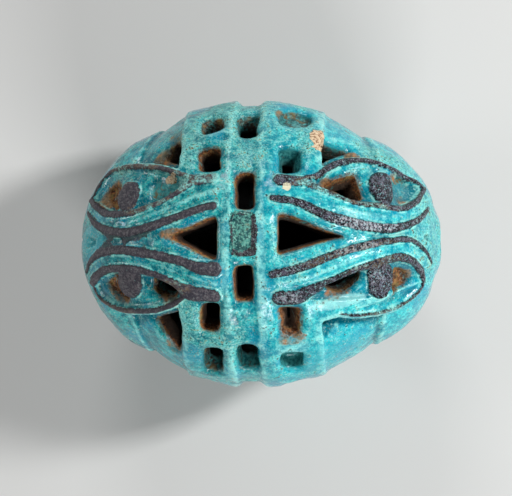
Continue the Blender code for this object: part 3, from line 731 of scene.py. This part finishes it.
def profile_table(xs, rs):
    """Signed distance to the barrel and the place along its profile, for each (x, r)."""
    at_x, at_r = np.meshgrid(xs, rs, indexing="ij")
    at_x = at_x.ravel()
    at_r = at_r.ravel()
    best = np.full(len(at_x), 1e9)
    place = np.zeros(len(at_x))
    for i in range(len(profile_x) - 1):
        ax, ar = profile_x[i], profile_r[i]
        bx, br = profile_x[i + 1] - ax, profile_r[i + 1] - ar
        length = bx * bx + br * br
        if length < 1e-12:
            continue
        share = np.clip(((at_x - ax) * bx + (at_r - ar) * br) / length, 0.0, 1.0)
        gap = (at_x - ax - share * bx) ** 2 + (at_r - ar - share * br) ** 2
        closer = gap < best
        best[closer] = gap[closer]
        place[closer] = profile_u[i] + share[closer] * math.sqrt(length)
    inside = (at_r < barrel(at_x)) & (at_x > -LEFT) & (at_x < RIGHT)
    gap = np.sqrt(best) * np.where(inside, -1.0, 1.0)
    return gap.reshape(len(xs), len(rs)), place.reshape(len(xs), len(rs))


STEP_R = 0.1
reach = BODY + RIB_RISE + 3 * CELL
table_r = np.arange(0.0, reach * 1.5, STEP_R)
line_x = np.arange(-LEFT - 3 * CELL, RIGHT + 4 * CELL, CELL)
line_y = np.arange(-reach, reach + CELL, CELL)
lean_more = patches([(0.34, 5.0, -37.0, 2.6, 12.0), (0.12, 5.0, 32.0, 2.4, 9.0),
                     (0.16, 10.5, 26.0, 3.0, 9.0)])
table_gap, table_u = profile_table(line_x, table_r)

plane_y, plane_z = np.meshgrid(line_y, line_y, indexing="ij")
plane_r = np.hypot(plane_y, plane_z).ravel()
plane_angle = np.degrees(np.arctan2(plane_y, plane_z)).ravel()
row = plane_r / STEP_R
row_low = row.astype(np.int64)
row_share = row - row_low
wall_noise = layered(grid_point, 6.0, SEED + 50) * 0.25
inner_steps = np.gradient(hollow(line_x), line_x)

field = np.empty((len(line_x), len(line_y), len(line_y)), np.float32)
for i, x in enumerate(line_x):
    gap = table_gap[i][row_low] * (1 - row_share) + table_gap[i][row_low + 1] * row_share
    u = table_u[i][row_low] * (1 - row_share) + table_u[i][row_low + 1] * row_share
    value = np.full(len(plane_r), 1.0)
    active = np.nonzero((gap < FIELD_OUTSIDE) & (gap > -FIELD_INSIDE))[0]
    g = gap[active]
    at_u = u[active]
    at_angle = plane_angle[active]
    depth = -g
    solid = g - read_map(height, at_u, at_angle)
    slope = math.sqrt(1.0 + min(float(inner_steps[i]) ** 2, 9.0))
    inner = (float(hollow(np.array(x))) - plane_r[active]) / slope + read_map(wall_noise, at_u, at_angle)
    solid = soft_max(solid, inner, INNER_ROUND)
    under = smooth(np.abs(at_angle), 110.0, 135.0)
    upright = smooth(-np.abs(at_angle + 23.0), -14.0, -8.0) * float(smooth(np.abs(x), 7.0, 8.0))
    lean = LEAN + LEAN_UNDER * under - LEAN_UPRIGHT * upright + read_map(lean_more, at_u, at_angle)
    solid = soft_max(solid, -(read_map(through, at_u, at_angle) + lean * depth), WALL_ROUND)
    hole = np.maximum(read_map(recess, at_u, at_angle) + RECESS_LEAN * depth,
                      depth - read_map(floor_depth, at_u, at_angle))
    solid = soft_max(solid, -hole, RECESS_ROUND)
    solid = soft_max(solid, STRING_HOLE - plane_r[active], INNER_ROUND)
    solid = np.maximum(solid, -AXIS[2] - plane_z.ravel()[active])
    value[active] = solid
    field[i] = value.reshape(len(line_y), len(line_y))


def surface_of(values):
    """Points and four-sided faces of the surface where a field on a grid crosses 0, one point a cell."""
    inside = values < 0
    count = np.zeros(tuple(n - 1 for n in values.shape), np.int8)
    corners = [(a, b, c) for a in (0, 1) for b in (0, 1) for c in (0, 1)]
    size = count.shape
    for a, b, c in corners:
        count += inside[a : a + size[0], b : b + size[1], c : c + size[2]]
    cells = np.argwhere((count > 0) & (count < 8))
    number = np.full(size, -1, np.int64)
    number[cells[:, 0], cells[:, 1], cells[:, 2]] = np.arange(len(cells))
    corner_value = {}
    for a, b, c in corners:
        corner_value[(a, b, c)] = values[cells[:, 0] + a, cells[:, 1] + b, cells[:, 2] + c].astype(float)
    total = np.zeros((len(cells), 3))
    hits = np.zeros(len(cells))
    for start in corners:
        for axis in range(3):
            if start[axis]:
                continue
            end = tuple(1 if k == axis else start[k] for k in range(3))
            low = corner_value[start]
            high = corner_value[end]
            crosses = (low < 0) != (high < 0)
            share = np.where(crosses, low / np.where(crosses, low - high, 1.0), 0.0)
            point = np.tile(np.array(start, float), (len(cells), 1))
            point[:, axis] = share
            total += point * crosses[:, None]
            hits += crosses
    points = cells + total / hits[:, None]
    faces = []
    for axis in range(3):
        others = [k for k in range(3) if k != axis]
        low = [slice(None)] * 3
        high = [slice(None)] * 3
        low[axis] = slice(0, -1)
        high[axis] = slice(1, None)
        first = inside[tuple(low)]
        second = inside[tuple(high)]
        edges = np.argwhere(first != second)
        b, c = others
        keep = (edges[:, b] > 0) & (edges[:, c] > 0) & (edges[:, b] < size[b]) & (edges[:, c] < size[c])
        edges = edges[keep]
        outward = first[edges[:, 0], edges[:, 1], edges[:, 2]]
        quad = []
        for db, dc in ((1, 1), (0, 1), (0, 0), (1, 0)):
            cell = edges.copy()
            cell[:, b] -= db
            cell[:, c] -= dc
            quad.append(number[cell[:, 0], cell[:, 1], cell[:, 2]])
        quad = np.stack(quad, axis=1)
        flip = outward if axis != 1 else ~outward
        quad[~flip] = quad[~flip][:, ::-1]
        faces.append(quad)
    return points, np.concatenate(faces)


points, faces = surface_of(field)
origin = np.array([line_x[0], line_y[0], line_y[0]])
points = origin + points * CELL


def to_row(places):
    """Places on the barrel's own axes, in metres in the row's frame."""
    return (places + np.array(AXIS)) * MM


def mesh_from(name, places, quads):
    mesh = bpy.data.meshes.new(name)
    mesh.vertices.add(len(places))
    mesh.vertices.foreach_set("co", places.astype(np.float32).ravel())
    mesh.loops.add(quads.size)
    mesh.loops.foreach_set("vertex_index", quads.astype(np.int32).ravel())
    mesh.polygons.add(len(quads))
    mesh.polygons.foreach_set("loop_start", np.arange(0, quads.size, 4, dtype=np.int32))
    mesh.update(calc_edges=True)
    mesh.validate()
    return mesh


mesh = mesh_from("bead_surface", to_row(points), faces)
bead = bpy.data.objects.new("bead_surface", mesh)
bpy.context.scene.collection.objects.link(bead)
triangles = 2 * len(faces)
if triangles > MOST_TRIANGLES:
    fewer = bead.modifiers.new("fewer", "DECIMATE")
    fewer.ratio = MOST_TRIANGLES / triangles
    graph = bpy.context.evaluated_depsgraph_get()
    thinned = bpy.data.meshes.new_from_object(bead.evaluated_get(graph))
    bead.modifiers.clear()
    bead.data = thinned
    bpy.data.meshes.remove(mesh)
    mesh = thinned
mesh.shade_smooth()

# Values that the glaze reads, one for each point of the surface
where = np.empty(len(mesh.vertices) * 3, np.float32)
mesh.vertices.foreach_get("co", where)
where = where.reshape(-1, 3).astype(float) / MM - np.array(AXIS)
vertex_r = np.hypot(where[:, 1], where[:, 2])
vertex_angle = np.degrees(np.arctan2(where[:, 1], where[:, 2]))
column = np.clip((where[:, 0] - line_x[0]) / CELL, 0, len(line_x) - 1.001)
row = vertex_r / STEP_R


def read_table(table):
    i = column.astype(np.int64)
    j = row.astype(np.int64)
    a = column - i
    b = row - j
    low = table[i, j] * (1 - b) + table[i, j + 1] * b
    high = table[i + 1, j] * (1 - b) + table[i + 1, j + 1] * b
    return low * (1 - a) + high * a


vertex_gap = read_table(table_gap)
vertex_u = read_table(table_u)


def at_vertices(values):
    return read_map(values, vertex_u, vertex_angle)


def add_value(name, values):
    """Store a value for each point of the surface, for the glaze to read."""
    attribute = mesh.attributes.new(name, "FLOAT", "POINT")
    attribute.data.foreach_set("value", np.asarray(values, np.float32))


# Violet wash between the left brows, with turquoise left bare in patches
wash = region_map([(-17.6, 20.6), (-16.5, 11.6), (-15.3, 6.0), (-13.7, 3.3), (-12.0, 3.1), (-10.8, 4.1),
                   (-10.2, 2.6), (-11.0, 0.6), (-11.6, -1.6), (-11.3, -3.9), (-10.3, -6.5), (-11.5, -7.1),
                   (-13.0, -6.0), (-14.3, -5.7), (-15.8, -6.7), (-16.8, -9.9), (-17.3, -12.9), (-17.0, -7.3),
                   (-16.2, -3.5), (-15.6, -0.4), (-16.1, 3.6), (-16.9, 9.5)])
unwashed = patches([(1.0, -14.4, -1.8, 0.8, 3.2), (1.0, -12.2, -3.2, 1.2, 2.0)])
wash = np.maximum(wash, unwashed * 1.2 - 0.5)

# The block between the ribs, and the painted lines along its edges
block = region_map([(-1.35, 8.7), (1.15, 8.6), (1.2, 0.0), (1.15, -7.2), (-1.35, -7.2), (-1.4, 0.0)])
right_ink = line_map([(-1.1, -6.5), (0.1, -6.7), (1.0, -6.2), (1.15, -3.0), (1.2, 2.0), (1.1, 7.4)],
                     (0.22, 0.34, 0.42, 0.28, 0.36, 0.24))
left_ink = line_map([(-1.2, -5.0), (-1.25, 1.0), (-1.15, 7.6), (0.6, 8.2)], (0.1, 0.14, 0.1, 0.05))
block_ink = np.minimum(right_ink, left_ink)

# Ovals of each look, as patches() takes them: tan is bare body, cream a grain of grit, weathered
# and vivid are worn and bright glaze, thin is broken paint, milk is pale glaze and partly painted highlight,
# silver is painted highlight on the paint, soil is brown stain beside openings, and lit is a wall that the
# light reaches
PATCHES = {
    "tan": [(1.0, 7.9, 47.0, 1.0, 7.5), (1.0, 8.0, 42.0, 0.7, 4.0), (0.8, -8.3, 26.0, 1.0, 2.2)],
    "cream": [(1.0, 4.65, 19.0, 0.55, 2.0)],
    "weathered": [(0.6, -6.2, 44.0, 2.2, 20.0), (0.7, 7.0, 46.0, 1.8, 15.0), (0.75, -3.0, 62.0, 3.0, 16.0),
                  (0.5, 1.0, 66.0, 3.0, 10.0), (0.8, 15.5, 58.0, 4.0, 12.0), (0.5, -2.6, -44.0, 3.5, 14.0),
                  (0.6, -6.3, -36.0, 1.8, 14.0), (1.0, 0.0, 0.8, 1.7, 9.0), (0.55, 0.4, 40.0, 3.4, 26.0),
                  (0.6, 20.4, 5.0, 2.8, 60.0)],
    "thin": [(0.72, -5.6, 23.5, 4.2, 7.0), (0.7, -10.5, 14.0, 3.4, 4.0), (0.6, -12.5, 42.0, 6.0, 14.0),
             (0.75, 8.4, 19.5, 4.0, 6.0), (0.55, 13.0, 13.0, 6.0, 6.0), (0.4, -8.2, -21.0, 3.0, 4.0),
             (0.6, 15.0, -43.0, 4.6, 6.0), (0.35, 12.0, -8.0, 8.0, 10.0), (0.3, -14.0, -45.0, 5.0, 9.0)],
    # pale glaze patches, partly painted highlight on ridges, strips and ribs
    "milk": [(1.0, 10.3, -29.6, 3.9, 3.4), (0.6, 5.0, -49.0, 2.6, 7.0), (0.6, 1.95, -18.0, 0.7, 46.0),
             (0.5, -2.1, -12.0, 0.6, 46.0), (0.55, 12.6, 10.2, 4.6, 2.6), (0.4, -9.0, -13.0, 6.0, 2.6),
             (0.45, 0.2, 33.0, 1.6, 8.0)],
    # patches of painted highlight on the paint
    "silver": [(1.0, 13.0, 6.0, 5.0, 4.0), (0.9, 12.0, -5.0, 4.4, 4.0), (0.55, 14.4, -20.0, 1.3, 6.0),
               (0.6, 4.8, -24.0, 1.8, 3.0), (0.5, 14.0, 16.0, 3.6, 3.0)],
    "soil": [(0.85, -9.4, 43.0, 2.6, 6.0), (0.6, -8.2, 51.0, 1.2, 7.0), (0.9, 3.7, 61.0, 0.9, 5.0),
             (0.9, -7.9, 1.0, 1.9, 3.2), (1.0, 9.6, 23.0, 1.8, 4.6), (0.9, 12.3, 47.6, 1.3, 4.0),
             (0.7, 5.0, -43.6, 1.9, 4.6), (0.55, -8.6, -56.0, 1.2, 7.0), (0.8, -8.4, -27.0, 1.6, 3.6),
             (1.0, -15.9, 32.0, 1.9, 13.0), (0.7, -15.0, -34.0, 1.9, 8.0), (0.85, 17.5, -27.0, 1.3, 8.0),
             (0.6, 10.2, -25.4, 2.0, 3.4), (0.5, 17.6, 27.0, 1.0, 5.0), (0.9, 16.5, 40.5, 0.7, 2.6)],
    "lit": [(1.0, -8.9, -23.5, 2.6, 7.0), (1.0, 10.8, 26.0, 3.4, 9.0), (0.8, 5.0, -37.5, 2.2, 8.0)],
    "vivid": [(1.3, -18.2, -1.0, 2.4, 18.0), (0.7, 9.0, -62.0, 7.0, 16.0), (0.5, -9.0, -62.0, 6.0, 14.0),
              (0.5, -10.0, 60.0, 6.0, 14.0)],
}
looks = {name: patches(rows) for name, rows in PATCHES.items()}
worn_clouds = 0.6 * smooth(layered(grid_point, 4.0, SEED + 60), 0.25, 0.9)
looks["weathered"] = np.maximum(looks["weathered"], worn_clouds)
looks.update({
    "paint": paint, "stain": stain, "edge_gap": edge_gap, "gloom": gloom, "recess": recess,
    "wash": 1.0 - smooth(wash, -0.3, 0.35), "block": block, "block_ink": block_ink,
    "crest": height - blurred(height, CREST_REACH), "hump": height - blurred(height, HUMP_REACH),
})
for name, values in looks.items():
    add_value(name, at_vertices(values))
add_value("depth", at_vertices(height) - vertex_gap)


# Glaze: short names for the shader's nodes
glaze = bpy.data.materials.new("glazed_faience")
glaze.use_nodes = True
tree = glaze.node_tree
tree.nodes.clear()


def rgb(red, green, blue):
    """Screen colour from 0 to 255 as the shader's linear colour."""
    out = []
    for value in (red, green, blue):
        share = value / 255
        out.append(share / 12.92 if share <= 0.04045 else ((share + 0.055) / 1.055) ** 2.4)
    return (*out, 1.0)


def node(kind, **settings):
    made = tree.nodes.new(kind)
    for key, value in settings.items():
        setattr(made, key, value)
    return made


def put(socket, value):
    """Feed a socket with another node's output, a screen colour or a number."""
    if isinstance(value, bpy.types.NodeSocket):
        tree.links.new(value, socket)
    else:
        socket.default_value = rgb(*value) if isinstance(value, tuple) else value


def stored(name):
    return node("ShaderNodeAttribute", attribute_name=name).outputs["Fac"]


def calculated(operation, a, b):
    made = node("ShaderNodeMath", operation=operation)
    put(made.inputs[0], a)
    put(made.inputs[1], b)
    return made.outputs[0]


def plus(a, b):
    return calculated("ADD", a, b)


def less(a, b):
    return calculated("SUBTRACT", a, b)


def both(a, b):
    return calculated("MULTIPLY", a, b)


def either(a, b):
    return calculated("MAXIMUM", a, b)


def stirred(value, clouds, amount):
    """Value pushed either way by noise."""
    return plus(value, both(less(clouds, 0.5), amount))


def ease(value, low, high, to_low=0.0, to_high=1.0):
    made = node("ShaderNodeMapRange", interpolation_type="SMOOTHSTEP")
    for name, given in (("Value", value), ("From Min", low), ("From Max", high), ("To Min", to_low),
                        ("To Max", to_high)):
        put(made.inputs[name], given)
    return made.outputs["Result"]


def clouds_of(per_mm, detail, roughness=0.55):
    made = node("ShaderNodeTexNoise")
    for name, given in (("Vector", place), ("Scale", per_mm), ("Detail", detail), ("Roughness", roughness)):
        put(made.inputs[name], given)
    return made.outputs["Fac"]


def cells_of(per_mm):
    made = node("ShaderNodeTexVoronoi")
    put(made.inputs["Vector"], place)
    put(made.inputs["Scale"], per_mm)
    return made.outputs["Distance"]


def between(data_type, socket_type, share, a, b):
    made = node("ShaderNodeMix", data_type=data_type)
    put(made.inputs[0], share)
    for name, given in (("A", a), ("B", b)):
        fits = [socket for socket in made.inputs if (socket.name, socket.type) == (name, socket_type)]
        put(fits[0], given)
    return next(socket for socket in made.outputs if socket.type == socket_type)


def mixed(share, a, b):
    """Colour between two others."""
    return between("RGBA", "RGBA", share, a, b)


def mixed_value(share, a, b):
    """Number between two others."""
    return between("FLOAT", "VALUE", share, a, b)


shader = node("ShaderNodeBsdfPrincipled")
output = node("ShaderNodeOutputMaterial")
tree.links.new(shader.outputs[0], output.inputs[0])
scaled = node("ShaderNodeVectorMath", operation="SCALE")
put(scaled.inputs[0], node("ShaderNodeTexCoord").outputs["Object"])
put(scaled.inputs["Scale"], 1.0 / MM)
place = scaled.outputs[0]
split = node("ShaderNodeSeparateXYZ")
put(split.inputs[0], place)
to_right = ease(split.outputs["X"], -4.0, 4.0)

broad = clouds_of(0.3, 3.0)
mottle = clouds_of(0.95, 4.0, 0.62)
medium = clouds_of(1.9, 3.0, 0.7)
fine = clouds_of(3.0, 3.0, 0.65)
grit = clouds_of(4.4, 2.0, 0.75)
grain = clouds_of(7.0, 2.0, 0.7)
specks = cells_of(2.1)
small_specks = cells_of(4.6)
granules = cells_of(6.0)
worn = stored("weathered")

# turquoise: lighter and deeper in clouds, darker on the left half as painted shade, deep where it pools and
# painted darker in hollows as shade, pale where it runs thin and painted lighter on crests as highlights
# the left half's glaze is darker than the right's, a painted shade
low_glaze_left_shaded = mixed(to_right, (6, 112, 124), (10, 148, 166))
high_glaze_left_shaded = mixed(to_right, (60, 198, 196), (74, 222, 222))
colour = mixed(ease(stirred(mottle, fine, 0.5), 0.36, 0.66), low_glaze_left_shaded, high_glaze_left_shaded)
whole = ease(worn, 0.0, 0.35, 1.0, 0.1)
colour = mixed(both(whole, ease(broad, 0.46, 0.66, 0.0, 0.7)), colour, (0, 148, 178))
# hollows take a deeper teal: partly glaze pooling there, partly painted shade
pooled_glaze_and_shade = ease(stirred(stored("hump"), mottle, 0.16), -0.04, -0.32, 0.0, 0.8)
colour = mixed(pooled_glaze_and_shade, colour, (0, 98, 116))
# paler on crests: partly glaze running thin, partly painted highlight
thin_glaze_and_highlight = ease(stirred(stored("crest"), fine, 0.06), 0.015, 0.08, 0.0, 0.8)
colour = mixed(both(thin_glaze_and_highlight, ease(mottle, 0.36, 0.56, 0.15, 1.0)), colour, (150, 232, 226))
bright = ease(stirred(stored("vivid"), mottle, 0.8), 0.2, 0.9)
colour = mixed(both(bright, 0.6), colour, (14, 178, 192))
# paler glaze in patches: partly pale glaze, partly painted highlight
milky_and_highlit = ease(stirred(stored("milk"), stirred(mottle, fine, 0.5), 1.1), 0.25, 0.85)
colour = mixed(both(milky_and_highlit, 0.6), colour, (158, 228, 226))
gritty = ease(plus(mottle, both(worn, 0.25)), 0.46, 0.66, 0.12, 0.6)
colour = mixed(both(ease(grit, 0.52, 0.64), gritty), colour, (176, 236, 226))
colour = mixed(both(ease(grit, 0.46, 0.34), gritty), colour, (8, 84, 92))

# weathered: greenish and matt, olive in blotches, with dark pinholes and pale grains that are partly painted
# glints
weather = ease(stirred(worn, mottle, 1.3), 0.2, 0.85)
weather_colour = mixed(ease(grit, 0.4, 0.6), (70, 178, 176), (150, 228, 216))
colour = mixed(both(weather, 0.5), colour, weather_colour)
olive = both(weather, ease(stirred(fine, mottle, 0.6), 0.56, 0.7))
colour = mixed(both(olive, 0.55), colour, (142, 150, 96))
# pale specks: partly grains in the glaze, partly painted glints
pale_grain_and_glint = both(ease(granules, 0.24, 0.1), ease(fine, 0.5, 0.68, 0.0, 0.75))
colour = mixed(pale_grain_and_glint, colour, (186, 236, 226))
dark_spot = both(ease(small_specks, 0.34, 0.2), ease(plus(fine, both(weather, 0.12)), 0.54, 0.62))
large_spot = both(ease(specks, 0.26, 0.16), ease(plus(mottle, both(weather, 0.08)), 0.53, 0.59))
holes = either(dark_spot, large_spot)
colour = mixed(both(holes, 0.9), colour, (22, 44, 42))
colour = mixed(ease(grain, 0.34, 0.48, 0.22, 0.0), colour, (8, 104, 114))
fleck = both(ease(stirred(grit, medium, 0.4), 0.6, 0.68), less(1.0, both(to_right, 0.6)))
fleck_colour = mixed(ease(medium, 0.4, 0.6), (190, 222, 200), (140, 132, 92))
colour = mixed(both(fleck, 0.6), colour, fleck_colour)

# the block between the ribs: darker, greenish, with specks
block_here = ease(stirred(stored("block"), fine, 0.3), 0.06, -0.1)
block_colour = mixed(ease(stirred(medium, grit, 0.4), 0.42, 0.6), (14, 38, 42), (84, 148, 134))
block_colour = mixed(ease(grit, 0.56, 0.64, 0.0, 0.5), block_colour, (138, 196, 180))
colour = mixed(both(block_here, 0.85), colour, block_colour)

# brown stain soaked into the glaze beside openings
soil_here = ease(stirred(stored("soil"), stirred(mottle, fine, 0.7), 1.7), 0.15, 1.0)
soil_colour = mixed(ease(fine, 0.4, 0.62), (150, 104, 44), (96, 72, 40))
soil_colour = mixed(ease(mottle, 0.5, 0.66), soil_colour, (188, 112, 48))
colour = mixed(both(soil_here, 0.85), colour, soil_colour)

# black paint: matt and violet grey on the left, denser and granular on the right, with painted glints and
# sheen on it
line_gap = stirred(stirred(stored("paint"), fine, 0.34), mottle, 0.3)
block_gap = stirred(stored("block_ink"), fine, 0.4)
washed = ease(stirred(stored("wash"), stirred(mottle, medium, 1.2), 1.3), 0.34, 0.66)
covered = either(ease(line_gap, 0.05, -0.05), both(washed, 0.88))
covered = either(covered, ease(block_gap, 0.04, -0.06))
broken = ease(stirred(stored("thin"), stirred(mottle, fine, 0.8), 1.8), 0.42, 0.95)
flaked = mixed_value(to_right, ease(grit, 0.6, 0.7, 0.0, 0.25), ease(grit, 0.55, 0.66, 0.0, 0.6))
bare = either(both(broken, ease(grit, 0.4, 0.54, 0.25, 1.0)), flaked)
covered = both(covered, less(1.0, bare))
ink = mixed(to_right, (54, 52, 62), (24, 20, 30))
# lighter ink: worn grey on the left, painted sheen on the right
lighter_wear_and_sheen = mixed(to_right, (98, 92, 98), (112, 108, 128))
ink = mixed(ease(stirred(grit, medium, 0.9), 0.44, 0.62, 0.0, 0.85), ink, lighter_wear_and_sheen)
ink_edge = both(ease(line_gap, -0.24, -0.02), ease(mottle, 0.4, 0.54))
ink = mixed(both(ink_edge, 0.85), ink, (16, 15, 20))
# pale specks on the paint: painted glints, strongest on the right and densest in the painted highlight
# patches
ash_glints = both(ease(granules, 0.36, 0.2), ease(stirred(fine, broad, 0.4), 0.42, 0.56))
silvered_highlight = ease(stirred(stored("silver"), medium, 0.9), 0.35, 0.85)
silvered_highlight = both(silvered_highlight, ease(stirred(fine, grit, 0.7), 0.46, 0.58))
ash_glints = either(both(ash_glints, 0.7), both(silvered_highlight, 0.9))
ash_glint_colour = mixed(to_right, (150, 150, 156), (212, 216, 226))
ink = mixed(both(ash_glints, mixed_value(to_right, 0.12, 0.9)), ink, ash_glint_colour)
warm = both(ease(stored("thin"), 0.05, 0.5), ease(fine, 0.44, 0.56))
ink = mixed(both(warm, 0.65), ink, (134, 112, 86))
rim = both(ease(line_gap, 0.03, 0.1), ease(line_gap, 0.32, 0.14))
colour = mixed(both(rim, ease(mottle, 0.42, 0.6, 0.0, 0.75)), colour, (160, 226, 214))
colour = mixed(covered, colour, ink)

# walls of the openings: brown or deep glaze at the rim, with painted shade darkening them further in and
# painted black deepest
depth = stored("depth")
wall_depth = stirred(depth, mottle, 0.5)
shallow = ease(stored("recess"), 0.1, -0.15)
brown = ease(stirred(stored("stain"), stirred(mottle, fine, 0.6), 1.5), 0.3, 0.75)
rust = mixed(ease(fine, 0.36, 0.64), (166, 102, 52), (62, 40, 28))
rust = mixed(ease(grit, 0.54, 0.62, 0.0, mixed_value(to_right, 0.8, 0.25)), rust, (36, 24, 20))
rust = mixed(ease(mottle, 0.5, 0.62, 0.0, 0.7), rust, (146, 130, 82))
# rust turns a darker, duller brown deeper in the wall, a painted shade
rust = mixed(ease(stirred(wall_depth, fine, 1.2), 0.5, 1.5), rust, (78, 60, 46))
teal = mixed(ease(fine, 0.36, 0.64), (72, 154, 152), (26, 98, 104))
wall = ease(wall_depth, 0.1, 0.42)
rim_stain = both(both(brown, ease(stored("edge_gap"), 0.2, -0.05)), ease(fine, 0.4, 0.6, 0.1, 0.8))
colour = mixed(either(wall, rim_stain), colour, mixed(brown, teal, rust))
# painted shade: walls darken with depth, less in shallow recesses and where the light reaches, more in corner
# openings
depth_shade = ease(less(wall_depth, both(brown, 0.35)), mixed_value(brown, 0.9, 0.25), mixed_value(brown, 2.9, 1.8))
depth_shade = both(depth_shade, less(1.0, both(shallow, 0.85)))
depth_shade = both(depth_shade, less(1.0, both(stored("lit"), 0.55)))
depth_shade = either(depth_shade, both(stored("gloom"), ease(wall_depth, 0.1, 0.8)))
colour = mixed(both(depth_shade, 0.9), colour, mixed(fine, (22, 17, 14), (44, 28, 18)))
# painted black shade at the bottom of deep openings
colour = mixed(ease(depth, 2.2, 2.9), colour, (12, 11, 10))

# bare body and grit
bare_here = ease(stirred(stored("tan"), stirred(mottle, fine, 0.7), 1.1), 0.42, 0.56)
body = mixed(ease(stirred(fine, grit, 0.6), 0.36, 0.54), (140, 92, 60), (232, 208, 174))
colour = mixed(bare_here, colour, body)
colour = mixed(ease(stored("cream"), 0.3, 0.6), colour, (226, 222, 192))
put(shader.inputs["Base Color"], colour)

# gloss: glassy where the glaze is whole, dull where it is weathered, stained or bare
roughness = mixed_value(both(weather, 0.8), ease(fine, 0.3, 0.7, 0.08, 0.2), 0.55)
roughness = mixed_value(covered, roughness, mixed_value(to_right, 0.5, ease(grain, 0.35, 0.65, 0.12, 0.36)))
dull = either(either(both(wall, brown), bare_here), either(holes, both(soil_here, 0.8)))
dull = either(dull, ease(depth, 1.4, 2.2))
put(shader.inputs["Roughness"], mixed_value(dull, roughness, 0.85))
put(shader.inputs["IOR"], 1.5)
put(shader.inputs["Specular IOR Level"], 0.34)

# fine relief, in millimetres
rougher = either(covered, both(weather, 0.7))
relief = plus(both(fine, mixed_value(rougher, 0.022, 0.08)), both(mottle, 0.06))
relief = plus(relief, plus(both(grain, 0.008), both(both(grit, gritty), 0.035)))
relief = plus(relief, both(both(granules, covered), mixed_value(to_right, 0.05, 0.26)))
relief = less(relief, both(holes, 0.07))
relief = plus(relief, both(both(fine, dull), 0.16))
bump = node("ShaderNodeBump")
put(bump.inputs["Strength"], 0.9)
put(bump.inputs["Distance"], MM)
put(bump.inputs["Height"], relief)
put(shader.inputs["Normal"], bump.outputs[0])
mesh.materials.append(glaze)

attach(bead, "root")
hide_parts("wadjet_eye_bead")

# Floor
FLOOR_SIZE = 3.0
FLOOR_COLOUR = (0.6, 0.6, 0.59, 1.0)
bpy.ops.mesh.primitive_plane_add(size=FLOOR_SIZE, location=(0.0, 0.0, 0.0))
ground = bpy.context.object
ground.name = "floor"
floor_look = bpy.data.materials.new("pale_floor")
floor_look.use_nodes = True
floor_shader = floor_look.node_tree.nodes["Principled BSDF"]
floor_shader.inputs["Base Color"].default_value = FLOOR_COLOUR
floor_shader.inputs["Roughness"].default_value = 0.9
ground.data.materials.append(floor_look)


# Light
def add_light(name, place, aim, width, height, power):
    """Rectangle of light, in metres and watts."""
    data = bpy.data.lights.new(name, "AREA")
    data.shape = "RECTANGLE"
    data.size = width
    data.size_y = height
    data.energy = power
    lamp = bpy.data.objects.new(name, data)
    lamp.location = place
    lamp.rotation_mode = "QUATERNION"
    lamp.rotation_quaternion = (Vector(aim) - Vector(place)).to_track_quat("-Z", "Y")
    bpy.context.scene.collection.objects.link(lamp)


ROOM_LIGHT = 0.045
middle = (0.0, 0.0, AXIS[2] * MM)
add_light("key", (0.26, 0.08, 0.24), middle, 0.04, 0.08, 1.1)
add_light("top", (-0.04, 0.3, 0.2), middle, 0.12, 0.08, 0.38)
add_light("fill", (-0.34, 0.02, 0.11), middle, 0.1, 0.1, 0.32)
add_light("front", (0.1, -0.3, 0.2), middle, 0.16, 0.035, 0.86)
world = bpy.data.worlds.new("studio")
world.use_nodes = True
background = world.node_tree.nodes["Background"]
background.inputs["Color"].default_value = (1.0, 1.0, 1.0, 1.0)
background.inputs["Strength"].default_value = ROOM_LIGHT
bpy.context.scene.world = world

# Camera over the lying bead, at the photograph's angle
YAW = 3.6
TILT = 3.1
DISTANCE = 200.0
PIXELS_PER_MM = 8.56
AXIS_PIXEL = (261.5, 243.8)
FRAME_PIXELS = (512, 496)
back = Vector((math.sin(math.radians(YAW)), -math.sin(math.radians(TILT)), 0.0))
back.z = math.sqrt(1.0 - back.x**2 - back.y**2)
up = Vector((0.0, 1.0, 0.0))
up = (up - back * up.dot(back)).normalized()
across = up.cross(back)
camera_data = bpy.data.cameras.new("camera")
camera = bpy.data.objects.new("camera", camera_data)
bpy.context.scene.collection.objects.link(camera)
matrix = Matrix(((across.x, up.x, back.x), (across.y, up.y, back.y), (across.z, up.z, back.z))).to_4x4()
matrix.translation = Vector((0.0, 0.0, AXIS[2] * MM)) + back * DISTANCE * MM
camera.matrix_world = matrix
camera_data.sensor_width = 36.0
camera_data.lens = camera_data.sensor_width * PIXELS_PER_MM * DISTANCE / FRAME_PIXELS[0]
camera_data.shift_x = -(AXIS_PIXEL[0] - 0.5 * FRAME_PIXELS[0]) / FRAME_PIXELS[0]
camera_data.shift_y = (AXIS_PIXEL[1] - 0.5 * FRAME_PIXELS[1]) / FRAME_PIXELS[0]
camera_data.clip_start = 0.001
camera_data.clip_end = 5.0
bpy.context.scene.camera = camera
bpy.context.scene.view_settings.view_transform = "Standard"
